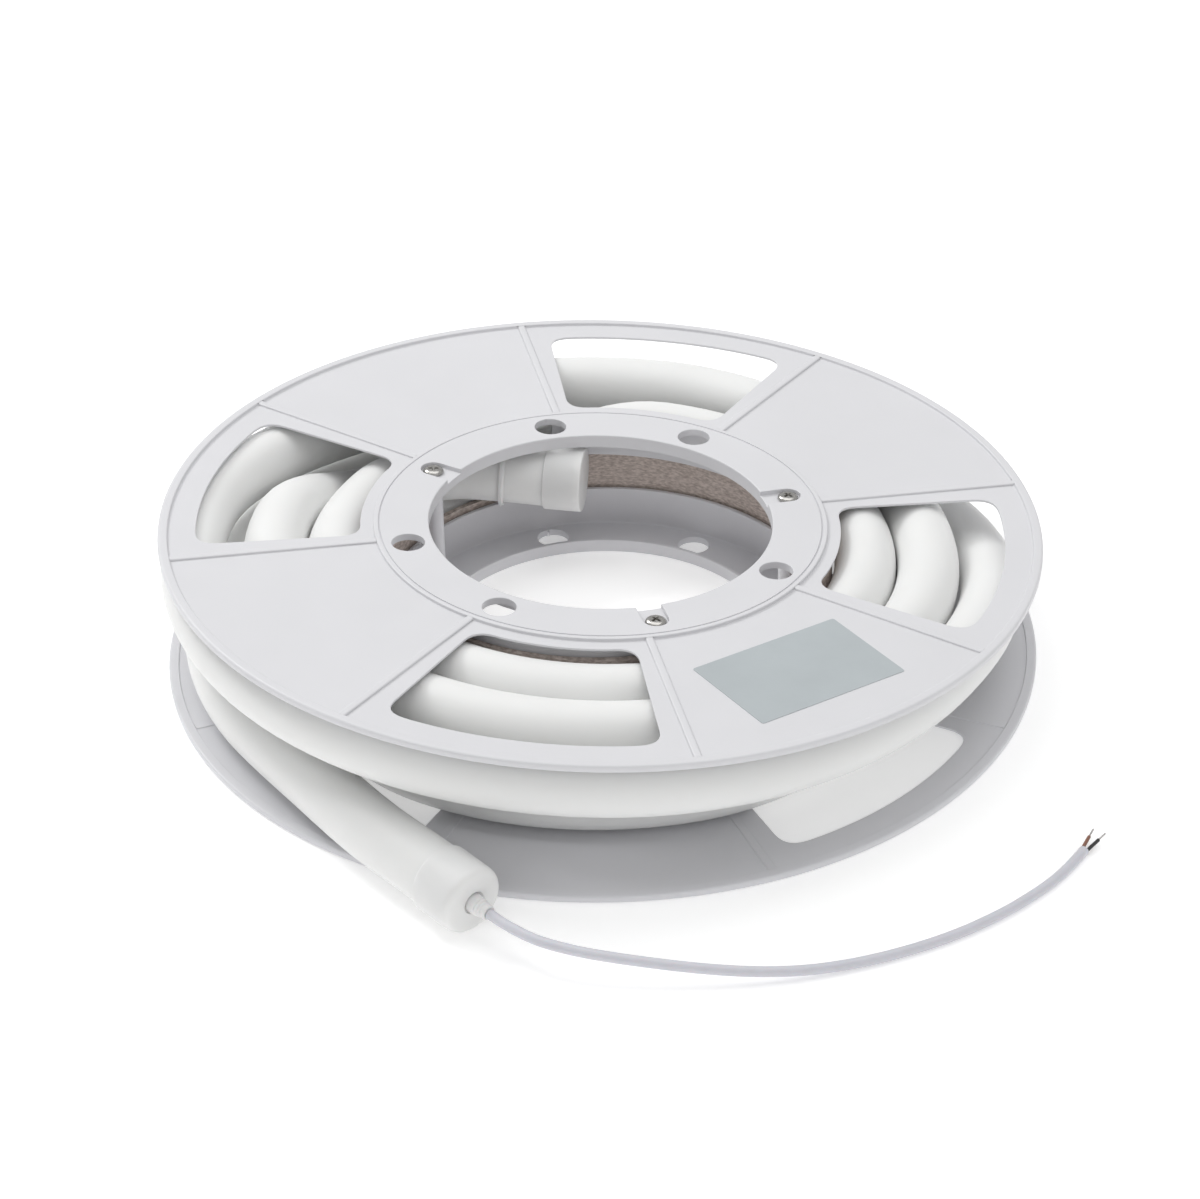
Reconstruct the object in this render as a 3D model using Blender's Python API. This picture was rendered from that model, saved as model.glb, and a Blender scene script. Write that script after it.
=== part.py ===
"""A reel of round light-diffusing flex, lying flat on the floor.

Two moulded halves hold the flex between them, wound round a board core. The
inner end stops in the hub. The outer end leaves the lower layer, lies on the
floor and carries a short lead with two bare wires. Units are metres, +Z is up.
The reel's axis is the origin of the empty that every piece is parented to.
"""

import math

import bmesh
import bpy
from mathutils import Matrix, Vector

MM = 0.001

# Clearances
SEAT_GAP = 0.3 * MM
CORE_CLEARANCE = 1.0 * MM
TURN_GAP = 0.6 * MM
LAYER_GAP = 0.3 * MM
EDGE_CLEARANCE = 0.3 * MM

# Reel half, one moulding. Depths count down from its outermost face.
FLANGE_RADIUS = 200 * MM
RIM_WIDTH = 4.5 * MM
RIB_HEIGHT = 1.5 * MM
SHEET_THICKNESS = 2.0 * MM
HUB_BORE_RADIUS = 78 * MM
HUB_RING_WIDTH = 25 * MM
LIP_WALL = 2.0 * MM
LIP_DEPTH = 3.0 * MM
COLLAR_INSET = 1 * MM
COLLAR_WALL = 2.2 * MM
COLLAR_DEPTH = 19 * MM
GATE_HALF_ANGLE = 23.0
UPPER_GATE_AZ = 126.0
LOWER_GATE_AZ = 356.0
SEGMENTS = 72
GATE_STEPS = 8

# Spokes and windows
SPOKE_COUNT = 8
SPOKE_WIDTH = 3.6 * MM
SPOKE_STEP_DOWN = 0.15 * MM
UPPER_SPOKE_AZ = 11.25
LOWER_SPOKE_AZ = 21.0
WINDOW_COUNT = 4
WINDOW_HUB_MARGIN = 6 * MM
WINDOW_EDGE_MARGIN = 17 * MM
WINDOW_HALF_ANGLE = 18.85
WINDOW_CORNER = 9 * MM
WINDOW_ARC_STEPS = 6

# Hub fittings
HUB_FITTING_INSET = 13.6 * MM
HOLE_AZIMUTHS = (60.0, 105.0, 195.0, 240.0, 330.0)
SCREW_AZIMUTHS = (15.0, 150.0, 285.0)
SCREW_TURNS = (25.0, 75.0, 35.0)
HOLE_RADIUS = 7.5 * MM
POCKET_WIDTH = 11.5 * MM
POCKET_DEPTH = 2.2 * MM
SCREW_HEAD_RADIUS = 4.75 * MM
SCREW_HEAD_HEIGHT = 2.0 * MM
SCREW_SHANK_RADIUS = 1.75 * MM
SCREW_SHANK_LENGTH = 10 * MM
SCREW_HOLE_CLEARANCE = 0.7 * MM
SCREW_HOLE_EXTRA = 3 * MM
RECESS_SPAN = 4.8 * MM
RECESS_WIDTH = 1.0 * MM
RECESS_DEPTH = 1.2 * MM
POST_WALL = 1.5 * MM
POST_FOOT_RADIUS = 6.5 * MM
POST_FOOT_HEIGHT = 10 * MM

# How the upper half leans: its far edge rests on the turns, its near left edge rides high
LEAN_ANGLE = 2.0
LEAN_HIGH_AZ = 211.0

# Flex
FLEX_RADIUS = 14 * MM
FLEX_STEP_DEG = 12
FLEX_BEVEL_RESOLUTION = 4

# Core ring
CORE_WALL = 2.5 * MM
CORE_NOTCH_FROM = 102.0
CORE_NOTCH_TO = 149.0

# End caps, lead, label and tie
CAP_WALL = 1.0 * MM
OUTER_CAP_LENGTH = 28 * MM
INNER_CAP_LENGTH = 20 * MM
CAP_END_WALL = 3.0 * MM
CAP_BEVEL = 1.0 * MM
SLEEVE_LENGTH = 9 * MM
SLEEVE_STRAIGHT = 3.6 * MM
SLEEVE_ROOT_RADIUS = 4.2 * MM
LEAD_RADIUS = 2.25 * MM
LEAD_BEVEL_RESOLUTION = 2
LEAD_POINT_STEP = 11 * MM
WIRE_RADIUS = 0.8 * MM
WIRE_LENGTH = 9 * MM
STRAND_RADIUS = 0.45 * MM
STRAND_LENGTH = 5 * MM
WIRE_SPACING = 2.2 * MM
WIRE_SPREAD = 7.0
WIRE_LIFT = 4.0
LABEL_LENGTH = 75 * MM
LABEL_WIDTH = 50 * MM
LABEL_THICKNESS = 0.25 * MM
LABEL_EDGE_DISTANCE = 50.8 * MM
LABEL_AZ = 303.75
TIE_WIDTH = 2.5 * MM
TIE_THICKNESS = 1.0 * MM
TIE_HEAD = (5.0 * MM, 4.0 * MM, 4.5 * MM)
CAP_SEGMENTS = 24
SMALL_SEGMENTS = 16
WIRE_SEGMENTS = 8

# Levels and radii that follow from the sizes above
HALF_THICKNESS = RIB_HEIGHT + SHEET_THICKNESS
HUB_RING_OUTER = HUB_BORE_RADIUS + HUB_RING_WIDTH
COLLAR_OUTER = HUB_RING_OUTER - COLLAR_INSET
WINDOW_INNER = HUB_RING_OUTER + WINDOW_HUB_MARGIN
WINDOW_OUTER = FLANGE_RADIUS - WINDOW_EDGE_MARGIN
LABEL_RADIUS = FLANGE_RADIUS - LABEL_EDGE_DISTANCE
FLEX_DIAMETER = 2 * FLEX_RADIUS
HALF_PITCH = FLEX_RADIUS + TURN_GAP / 2
HUB_FITTING_RADIUS = HUB_RING_OUTER - HUB_FITTING_INSET
COLLAR_SWAY = COLLAR_DEPTH * math.sin(math.radians(LEAN_ANGLE))
CORE_INNER = COLLAR_OUTER + COLLAR_SWAY + SEAT_GAP
CORE_OUTER = CORE_INNER + CORE_WALL
TURN_A = CORE_OUTER + CORE_CLEARANCE + FLEX_RADIUS
TURN_B = TURN_A + 2 * HALF_PITCH
TURN_C_LOW = TURN_B + 2 * HALF_PITCH
TURN_C_HIGH = FLANGE_RADIUS - FLEX_RADIUS - EDGE_CLEARANCE
LOW_LEVEL = HALF_THICKNESS + SEAT_GAP + FLEX_RADIUS
NEST_RISE = math.sqrt((FLEX_DIAMETER + 2 * LAYER_GAP) ** 2 - HALF_PITCH ** 2)
HIGH_LEVEL = LOW_LEVEL + NEST_RISE
STACKED_LEVEL = LOW_LEVEL + FLEX_DIAMETER + LAYER_GAP
STACK_TOP = HIGH_LEVEL + FLEX_RADIUS + SEAT_GAP
LEAN_PIVOT = TURN_B + FLEX_RADIUS
SCREW_HOLE_RADIUS = SCREW_SHANK_RADIUS + SCREW_HOLE_CLEARANCE
POST_RADIUS = SCREW_HOLE_RADIUS + POST_WALL
CAP_BORE = FLEX_RADIUS + SEAT_GAP
CAP_RADIUS = CAP_BORE + CAP_WALL

# Cut depths that only have to clear what they cut
OVERCUT = 1 * MM

# The flex's inner end, chosen by eye from its cap's closed face outwards: how many flex
# radii inside the inner turn, at which azimuth and how many below a stacked turn each lies
INNER_END = (
    (3.143, 95.7, 0.329),
    (2.607, 109.0, 0.300),
    (1.900, 119.4, 0.221),
    (0.986, 129.7, 0.107),
    (0.371, 139.7, 0.007),
)

# The flex's tail, chosen by eye from where it leaves the lower layer to its cap's closed
# face: how many flex radii outside the flange, at which azimuth and how many above its rest
TAIL = (
    (-1.239, 228.3, 0.171),
    (-0.331, 239.9, 0.171),
    (0.598, 248.6, 0.143),
    (1.755, 256.1, 0.007),
)

# The winding, in degrees from the first turn's zero: where it starts and ends, from where
# to where the flex steps out or in with by how many half pitches, and where it goes to and
# from the edge, up or down
WINDING_START = 150
WINDING_END = 1650
INNER_RISES = (150, 200)
FIRST_DROP = (435, 485)
SIDE_STEPS = ((530, 600, 2), (645, 715, -1), (740, 800, 1), (1100, 1160, 1))
RISE = (850, 892)
TO_THE_EDGE = (1200, 1250)
OFF_THE_EDGE = (1350, 1420)
LAST_DROP = (1405, 1480)

# The lead's route, chosen by eye, from just past the sleeve's mouth to the bared end
LEAD_ROUTE = (
    (-40.5 * MM, -232.2 * MM, 14.6 * MM),
    (-29.0 * MM, -240.0 * MM, 13.3 * MM),
    (-15.0 * MM, -245.2 * MM, 12.0 * MM),
    (0.0 * MM, -248.6 * MM, 10.8 * MM),
    (19.3 * MM, -251.4 * MM, 9.2 * MM),
    (39.3 * MM, -253.0 * MM, 7.3 * MM),
    (59.4 * MM, -252.8 * MM, 5.3 * MM),
    (79.8 * MM, -250.2 * MM, 3.6 * MM),
    (100.3 * MM, -245.0 * MM, 2.7 * MM),
    (121.1 * MM, -237.4 * MM, 2.4 * MM),
    (142.3 * MM, -227.0 * MM, 2.3 * MM),
    (162.0 * MM, -214.0 * MM, 2.3 * MM),
    (177.4 * MM, -201.0 * MM, 2.3 * MM),
    (187.8 * MM, -190.3 * MM, 2.3 * MM),
    (195.4 * MM, -180.5 * MM, 2.3 * MM),
    (201.5 * MM, -171.5 * MM, 2.3 * MM),
)


# Small geometry helpers

def polar(radius, azimuth, height=0.0):
    """A point from its distance to the axis, its azimuth in degrees and its height."""
    angle = math.radians(azimuth)
    return Vector((radius * math.cos(angle), radius * math.sin(angle), height))


def ease(value, start, end):
    """0 before start, 1 after end and a smooth S between."""
    share = min(max((value - start) / (end - start), 0.0), 1.0)
    return share * share * (3.0 - 2.0 * share)


def sheet_underside(x, y):
    """The height of the leaning upper half's inner face over a point."""
    high = math.radians(LEAN_HIGH_AZ)
    along = x * math.cos(high) + y * math.sin(high)
    return STACK_TOP + (along + LEAN_PIVOT) * math.tan(math.radians(LEAN_ANGLE))


def smooth_path(points, step):
    """Points about a step apart on the smooth curve through the given ones."""
    knots = [Vector(point) for point in points]
    before = knots[0] * 2 - knots[1]
    after = knots[-1] * 2 - knots[-2]
    knots = [before] + knots + [after]
    path = []
    for first, second, third, fourth in zip(knots, knots[1:], knots[2:], knots[3:]):
        pieces = max(1, round((third - second).length / step))
        for index in range(pieces):
            t = index / pieces
            bend = first * -1 + second * 3 - third * 3 + fourth
            rise = first * 2 - second * 5 + third * 4 - fourth
            path.append((second * 2 + (third - first) * t + rise * t ** 2 + bend * t ** 3) * 0.5)
    path.append(knots[-2])
    return path


# Objects, meshes and materials

def clear_scene():
    for item in list(bpy.context.scene.objects):
        bpy.data.objects.remove(item, do_unlink=True)


def material(name, colour, roughness, metallic=0.0):
    finish = bpy.data.materials.new(name)
    finish.use_nodes = True
    shader = finish.node_tree.nodes["Principled BSDF"]
    shader.inputs["Base Color"].default_value = (*colour, 1.0)
    shader.inputs["Roughness"].default_value = roughness
    shader.inputs["Metallic"].default_value = metallic
    return finish


def add_object(name, data, parent, finish=None):
    item = bpy.data.objects.new(name, data)
    bpy.context.scene.collection.objects.link(item)
    item.parent = parent
    if finish:
        data.materials.append(finish)
    return item


def mesh_from(bm, name):
    """Close a bmesh into a mesh whose faces point out, smooth where it is round."""
    bmesh.ops.recalc_face_normals(bm, faces=bm.faces)
    mesh = bpy.data.meshes.new(name)
    bm.to_mesh(mesh)
    bm.free()
    mesh.shade_smooth()
    mesh.set_sharp_from_angle(angle=math.radians(30))
    return mesh


def add_turned(bm, profile, segments, place=None):
    """Add a solid of revolution to a bmesh. A profile point at radius 0 is a pole."""
    place = place or Matrix.Identity(4)
    rings = []
    for radius, height in profile:
        if radius == 0:
            rings.append([bm.verts.new(place @ Vector((0, 0, height)))])
            continue
        turn = [polar(radius, 360 * index / segments, height) for index in range(segments)]
        rings.append([bm.verts.new(place @ point) for point in turn])
    pairs = list(zip(rings, rings[1:]))
    if len(rings[0]) > 1:
        pairs.append((rings[-1], rings[0]))
    for low, high in pairs:
        for index in range(segments):
            ahead = (index + 1) % segments
            corners = [low[index % len(low)], low[ahead % len(low)]]
            corners += [high[ahead % len(high)], high[index % len(high)]]
            corners = list(dict.fromkeys(corners))
            if len(corners) > 2:
                bm.faces.new(corners)


def add_prism(bm, outline, bottom, top):
    """Add an upright prism over a plan outline and return its upright edges."""
    low = [bm.verts.new((x, y, bottom)) for x, y in outline]
    high = [bm.verts.new((x, y, top)) for x, y in outline]
    bm.faces.new(list(reversed(low)))
    bm.faces.new(high)
    for index in range(len(outline)):
        ahead = (index + 1) % len(outline)
        bm.faces.new((low[index], low[ahead], high[ahead], high[index]))
    return [bm.edges.get((a, b)) for a, b in zip(low, high)]


def sector_outline(inner, outer, azimuth, half_angle, steps):
    """The plan outline of a ring's sector, and the places of its four corners in it."""
    turns = [azimuth + half_angle * (2 * index / steps - 1) for index in range(steps + 1)]
    outline = [polar(outer, turn).to_2d() for turn in turns]
    outline += [polar(inner, turn).to_2d() for turn in reversed(turns)]
    return outline, (0, steps, steps + 1, 2 * steps + 1)


def boolean(item, cutter, operation):
    """Join or cut with a cutter that stays in the file as a wire guide."""
    cutter.hide_render = True
    cutter.display_type = "WIRE"
    step = item.modifiers.new(cutter.name, "BOOLEAN")
    step.operation = operation
    step.object = cutter


def curve_tube(name, points, radius, resolution, parent, finish):
    """A round tube with closed ends along a list of points."""
    data = bpy.data.curves.new(name, "CURVE")
    data.dimensions = "3D"
    data.bevel_depth = radius
    data.bevel_resolution = resolution
    data.use_fill_caps = True
    spline = data.splines.new("POLY")
    spline.points.add(len(points) - 1)
    for knot, point in zip(spline.points, points):
        knot.co = (*point, 1.0)
        knot.radius = 1.0
    return add_object(name, data, parent, finish)


def along(start, heading):
    """A placement that takes +Z to a heading, with its origin at a point."""
    turn = Vector(heading).to_track_quat("Z", "Y").to_matrix().to_4x4()
    return Matrix.Translation(start) @ turn


# Reel halves, drawn with their outermost face up at height 0

def half_profile():
    """The turned section of a half: rim, sheet, hub ring, lip and collar."""
    sheet_top = -RIB_HEIGHT
    inside = -HALF_THICKNESS
    return (
        (FLANGE_RADIUS, 0.0),
        (FLANGE_RADIUS, inside),
        (COLLAR_OUTER, inside),
        (COLLAR_OUTER, inside - COLLAR_DEPTH),
        (COLLAR_OUTER - COLLAR_WALL, inside - COLLAR_DEPTH),
        (COLLAR_OUTER - COLLAR_WALL, inside),
        (HUB_BORE_RADIUS + LIP_WALL, inside),
        (HUB_BORE_RADIUS + LIP_WALL, inside - LIP_DEPTH),
        (HUB_BORE_RADIUS, inside - LIP_DEPTH),
        (HUB_BORE_RADIUS, 0.0),
        (HUB_RING_OUTER, 0.0),
        (HUB_RING_OUTER, sheet_top),
        (FLANGE_RADIUS - RIM_WIDTH, sheet_top),
        (FLANGE_RADIUS - RIM_WIDTH, 0.0),
    )


def add_spokes(bm, first_azimuth):
    start = HUB_RING_OUTER - OVERCUT
    end = FLANGE_RADIUS - RIM_WIDTH / 2
    side = SPOKE_WIDTH / 2
    for index in range(SPOKE_COUNT):
        turn = Matrix.Rotation(math.radians(first_azimuth + 360 * index / SPOKE_COUNT), 2)
        corners = ((start, -side), (end, -side), (end, side), (start, side))
        outline = [turn @ Vector(corner) for corner in corners]
        add_prism(bm, outline, -RIB_HEIGHT - SHEET_THICKNESS / 2, -SPOKE_STEP_DOWN)


def add_windows(bm, first_azimuth):
    """Four windows, each midway between two spokes, with rounded corners."""
    middle_of_second_bay = 1.5 * 360 / SPOKE_COUNT
    for index in range(WINDOW_COUNT):
        azimuth = first_azimuth + middle_of_second_bay + 360 * index / WINDOW_COUNT
        outline, corners = sector_outline(
            WINDOW_INNER, WINDOW_OUTER, azimuth, WINDOW_HALF_ANGLE, WINDOW_ARC_STEPS)
        edges = add_prism(bm, outline, -HALF_THICKNESS - OVERCUT, OVERCUT)
        bmesh.ops.bevel(
            bm, geom=[edges[corner] for corner in corners], offset=WINDOW_CORNER,
            segments=3, profile=0.5, affect="EDGES")


def add_round(bm, azimuth, radius, bottom, top, segments=20):
    """Add a round bar over a hub fitting's place."""
    place = Matrix.Translation(polar(HUB_FITTING_RADIUS, azimuth))
    add_turned(bm, ((0, bottom), (radius, bottom), (radius, top), (0, top)), segments, place)


def add_pocket(bm, azimuth):
    """A pocket for a screw head, open to the bore and round at its outer end."""
    side = POCKET_WIDTH / 2
    start = HUB_BORE_RADIUS - 2 * OVERCUT
    turn = Matrix.Rotation(math.radians(azimuth), 2)
    ends = [math.radians(-90 + 180 * index / 8) for index in range(9)]
    outline = [(start, side), (start, -side)]
    outline += [(HUB_FITTING_RADIUS + side * math.cos(end), side * math.sin(end)) for end in ends]
    add_prism(bm, [turn @ Vector(point) for point in outline], -POCKET_DEPTH, OVERCUT)


def add_gate(bm, azimuth):
    """The gap in the collar that lets the flex into the hub."""
    outline, _ = sector_outline(
        COLLAR_OUTER - COLLAR_WALL - OVERCUT, COLLAR_OUTER + OVERCUT, azimuth, GATE_HALF_ANGLE,
        GATE_STEPS)
    top = -HALF_THICKNESS - SPOKE_STEP_DOWN
    add_prism(bm, outline, -HALF_THICKNESS - COLLAR_DEPTH - OVERCUT, top)


def reel_half(name, frame, finish, spoke_azimuth, gate_azimuth, mirror):
    """One moulded half. The lower one is drawn upside down, so its azimuths run backwards."""
    bm = bmesh.new()
    add_turned(bm, half_profile(), SEGMENTS)
    half = add_object(name, mesh_from(bm, name), frame, finish)

    bm = bmesh.new()
    add_spokes(bm, mirror * spoke_azimuth)
    boolean(half, add_object(name + "_spokes", mesh_from(bm, name + "_spokes"), frame), "UNION")

    bm = bmesh.new()
    add_windows(bm, mirror * spoke_azimuth)
    add_gate(bm, mirror * gate_azimuth)
    for azimuth in HOLE_AZIMUTHS:
        add_round(bm, mirror * azimuth, HOLE_RADIUS, -HALF_THICKNESS - OVERCUT, OVERCUT)
    for azimuth in SCREW_AZIMUTHS:
        add_pocket(bm, mirror * azimuth)
    boolean(half, add_object(name + "_cuts", mesh_from(bm, name + "_cuts"), frame), "DIFFERENCE")
    return half


def add_screw_posts(half, frame):
    """Three hollow posts that rise from the lower half to the upper one's screws."""
    posts = bmesh.new()
    bores = bmesh.new()
    for azimuth in SCREW_AZIMUTHS:
        spot = polar(HUB_FITTING_RADIUS, azimuth)
        lean = POST_RADIUS * math.tan(math.radians(LEAN_ANGLE))
        top = sheet_underside(spot.x, spot.y) - lean - SEAT_GAP
        foot = HALF_THICKNESS + POST_FOOT_HEIGHT
        inside = HALF_THICKNESS - (HALF_THICKNESS - POCKET_DEPTH) / 2
        profile = (
            (0, -inside), (POST_FOOT_RADIUS, -inside), (POST_FOOT_RADIUS, -foot),
            (POST_RADIUS, -foot), (POST_RADIUS, -top), (0, -top))
        place = Matrix.Translation(polar(HUB_FITTING_RADIUS, -azimuth))
        add_turned(posts, profile, 16, place)
        depth = SCREW_SHANK_LENGTH + SCREW_HOLE_EXTRA
        add_round(bores, -azimuth, SCREW_HOLE_RADIUS, -top - OVERCUT, -top + depth, 12)
    joined = add_object("post_shapes", mesh_from(posts, "post_shapes"), frame)
    boolean(half, joined, "UNION")
    boolean(half, add_object("post_bores", mesh_from(bores, "post_bores"), frame), "DIFFERENCE")


def add_screw_holes(half, frame):
    """Holes through the floors of the upper half's pockets."""
    bm = bmesh.new()
    for azimuth in SCREW_AZIMUTHS:
        add_round(bm, azimuth, SCREW_HOLE_RADIUS, -HALF_THICKNESS - OVERCUT, OVERCUT, 12)
    boolean(half, add_object("screw_holes", mesh_from(bm, "screw_holes"), frame), "DIFFERENCE")


def screw_mesh():
    """A pan head screw with its seat at height 0."""
    head = SCREW_HEAD_HEIGHT
    bm = bmesh.new()
    add_turned(bm, (
        (0, head),
        (SCREW_HEAD_RADIUS * 0.45, head * 0.97),
        (SCREW_HEAD_RADIUS * 0.8, head * 0.75),
        (SCREW_HEAD_RADIUS, head * 0.3),
        (SCREW_HEAD_RADIUS, 0),
        (SCREW_SHANK_RADIUS, 0),
        (SCREW_SHANK_RADIUS, -SCREW_SHANK_LENGTH * 0.85),
        (0, -SCREW_SHANK_LENGTH)), SMALL_SEGMENTS)
    return mesh_from(bm, "screw")


def recess_mesh():
    """The cross that is cut into a screw's head, as one outline of twelve corners."""
    far = RECESS_SPAN / 2
    near = RECESS_WIDTH / 2
    bm = bmesh.new()
    quarter = ((far, -near), (far, near), (near, near))
    outline = [Matrix.Rotation(math.radians(90 * turn), 2) @ Vector(corner)
               for turn in range(4) for corner in quarter]
    add_prism(bm, outline, SCREW_HEAD_HEIGHT - RECESS_DEPTH, SCREW_HEAD_HEIGHT + OVERCUT)
    return mesh_from(bm, "recess")


def add_screws(frame, finish):
    shape = screw_mesh()
    shape.materials.append(finish)
    recess = recess_mesh()
    seat = -POCKET_DEPTH + SEAT_GAP
    for index, (azimuth, turn) in enumerate(zip(SCREW_AZIMUTHS, SCREW_TURNS), start=1):
        screw = add_object(f"screw_{index}", shape, frame)
        screw.location = polar(HUB_FITTING_RADIUS, azimuth, seat)
        screw.rotation_euler.z = math.radians(turn)
        cutter = add_object(f"screw_{index}_recess", recess, screw)
        boolean(screw, cutter, "DIFFERENCE")


def add_label(frame, finish):
    """A thin plate on the panel between two spokes, with its long side across the radius."""
    bottom = -RIB_HEIGHT + SEAT_GAP
    half_length = LABEL_LENGTH / 2
    half_width = LABEL_WIDTH / 2
    bm = bmesh.new()
    outline = ((-half_width, -half_length), (half_width, -half_length),
               (half_width, half_length), (-half_width, half_length))
    add_prism(bm, outline, bottom, bottom + LABEL_THICKNESS)
    label = add_object("label", mesh_from(bm, "label"), frame, finish)
    label.location = polar(LABEL_RADIUS, LABEL_AZ)
    label.rotation_euler.z = math.radians(LABEL_AZ)


# Core, flex and its caps

def add_core(frame, finish):
    """A board ring outside both collars, notched where the flex goes through."""
    lowest = sheet_underside(*polar(CORE_OUTER, LEAN_HIGH_AZ + 180).to_2d())
    bottom = HALF_THICKNESS + SEAT_GAP
    top = lowest - SEAT_GAP
    bm = bmesh.new()
    add_turned(bm, (
        (CORE_OUTER, top), (CORE_OUTER, bottom), (CORE_INNER, bottom), (CORE_INNER, top)),
        SEGMENTS)
    core = add_object("core_ring", mesh_from(bm, "core_ring"), frame, finish)
    middle = (CORE_NOTCH_FROM + CORE_NOTCH_TO) / 2
    half_angle = (CORE_NOTCH_TO - CORE_NOTCH_FROM) / 2
    outline, _ = sector_outline(
        CORE_INNER - OVERCUT, CORE_OUTER + OVERCUT, middle, half_angle, GATE_STEPS)
    floor = inner_end_points()[0].z - CAP_RADIUS - OVERCUT
    bm = bmesh.new()
    add_prism(bm, outline, floor, top + OVERCUT)
    boolean(core, add_object("core_notch", mesh_from(bm, "core_notch"), frame), "DIFFERENCE")


def winding_point(turn):
    """The flex's middle at a winding angle, counted in degrees from the first turn's zero.

    The inner turn starts right over the lower layer and springs up against the upper
    half. It drops to the lower layer, moves out and rises again, over the grooves of
    the turns below, then goes out to the edge, drops once more and ends low.
    """
    radius = TURN_A
    for start, end, half_pitches in SIDE_STEPS:
        radius += HALF_PITCH * half_pitches * ease(turn, start, end)
    radius += (TURN_C_HIGH - TURN_B - HALF_PITCH) * ease(turn, *TO_THE_EDGE)
    radius -= (TURN_C_HIGH - TURN_C_LOW) * ease(turn, *OFF_THE_EDGE)
    spot = polar(radius, turn)
    against = sheet_underside(spot.x, spot.y) - FLEX_RADIUS - 3 * SEAT_GAP
    high = max(against, HIGH_LEVEL)
    high = STACKED_LEVEL + (high - STACKED_LEVEL) * ease(turn, *INNER_RISES)
    layer = 1 - ease(turn, *FIRST_DROP) + ease(turn, *RISE) - ease(turn, *LAST_DROP)
    return Vector((spot.x, spot.y, LOW_LEVEL + (high - LOW_LEVEL) * layer))


def inner_end_points():
    return [polar(TURN_A - inset * FLEX_RADIUS, azimuth, STACKED_LEVEL - drop * FLEX_RADIUS)
            for inset, azimuth, drop in INNER_END]


def tail_points():
    return [polar(FLANGE_RADIUS + offset * FLEX_RADIUS, azimuth, CAP_RADIUS + lift * FLEX_RADIUS)
            for offset, azimuth, lift in TAIL]


def flex_route():
    """The flex's middle line, between the closed faces of its two caps."""
    inner_end = inner_end_points()
    tail = tail_points()
    turns = range(WINDING_START, WINDING_END + 1, FLEX_STEP_DEG)
    winding = [winding_point(turn) for turn in turns]
    entry = smooth_path([*inner_end, winding[0], winding[1]], FLEX_RADIUS)
    leaving = smooth_path([winding[-2], winding[-1], *tail], FLEX_RADIUS)
    steps_back = round((winding[1] - winding[0]).length / FLEX_RADIUS)
    steps_on = round((winding[-1] - winding[-2]).length / FLEX_RADIUS)
    return entry[:-steps_back] + winding[1:-1] + leaving[steps_on:]


def cap_place(closed_face, behind):
    """A cap's placement: origin on its closed face, +Z out of it."""
    return along(closed_face, closed_face - behind)


def add_cap(name, frame, finish, place, length):
    """A cup over the flex's end with its closed face at height 0."""
    bm = bmesh.new()
    add_turned(bm, (
        (0, 0),
        (CAP_RADIUS - CAP_BEVEL, 0),
        (CAP_RADIUS, -CAP_BEVEL),
        (CAP_RADIUS, -length),
        (CAP_BORE, -length),
        (CAP_BORE, -CAP_END_WALL),
        (0, -CAP_END_WALL)), CAP_SEGMENTS)
    cap = add_object(name, mesh_from(bm, name), frame, finish)
    cap.matrix_local = place


def add_flex(frame, finish, inner_cap, outer_cap):
    """The flex, drawn straight inside its caps and short of their end walls."""
    route = flex_route()
    depth = CAP_END_WALL + SEAT_GAP
    straight = (
        (inner_cap, INNER_CAP_LENGTH), (outer_cap, OUTER_CAP_LENGTH))
    ends = [[place @ Vector((0, 0, -depth)), place @ Vector((0, 0, -length - SEAT_GAP))]
            for place, length in straight]
    middle = [point for point in route
              if (point - inner_cap.translation).length > INNER_CAP_LENGTH + FLEX_RADIUS / 2
              and (point - outer_cap.translation).length > OUTER_CAP_LENGTH + FLEX_RADIUS / 2]
    points = ends[0] + middle + list(reversed(ends[1]))
    curve_tube("neon_flex", points, FLEX_RADIUS, FLEX_BEVEL_RESOLUTION, frame, finish)


def add_tie(frame, finish):
    """A thin strap round the flex just before it goes under the hub ring."""
    _, behind, spot, ahead, _ = inner_end_points()
    heading = (ahead - behind).normalized()
    inner = FLEX_RADIUS + 2 * SEAT_GAP
    outer = inner + TIE_THICKNESS
    half_width = TIE_WIDTH / 2
    bm = bmesh.new()
    add_turned(bm, (
        (outer, half_width), (inner, half_width), (inner, -half_width), (outer, -half_width)),
        CAP_SEGMENTS)
    tie = add_object("cable_tie", mesh_from(bm, "cable_tie"), frame, finish)
    tie.matrix_local = along(spot, heading)
    bm = bmesh.new()
    length, width, height = TIE_HEAD
    start = inner + TIE_THICKNESS / 2
    outline = ((start, -width / 2), (start + length, -width / 2),
               (start + length, width / 2), (start, width / 2))
    add_prism(bm, outline, -height / 2, height / 2)
    head = add_object("cable_tie_head", mesh_from(bm, "cable_tie_head"), tie)
    boolean(tie, head, "UNION")


# Lead

def add_sleeve(frame, finish, outer_cap):
    """A short tapered sleeve on the cap's closed face."""
    bm = bmesh.new()
    add_turned(bm, (
        (0, SEAT_GAP),
        (SLEEVE_ROOT_RADIUS, SEAT_GAP),
        (SLEEVE_ROOT_RADIUS, SLEEVE_STRAIGHT),
        (LEAD_RADIUS + CAP_WALL, SLEEVE_LENGTH),
        (0, SLEEVE_LENGTH)), SMALL_SEGMENTS)
    sleeve = add_object("lead_sleeve", mesh_from(bm, "lead_sleeve"), frame, finish)
    sleeve.matrix_local = outer_cap


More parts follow.
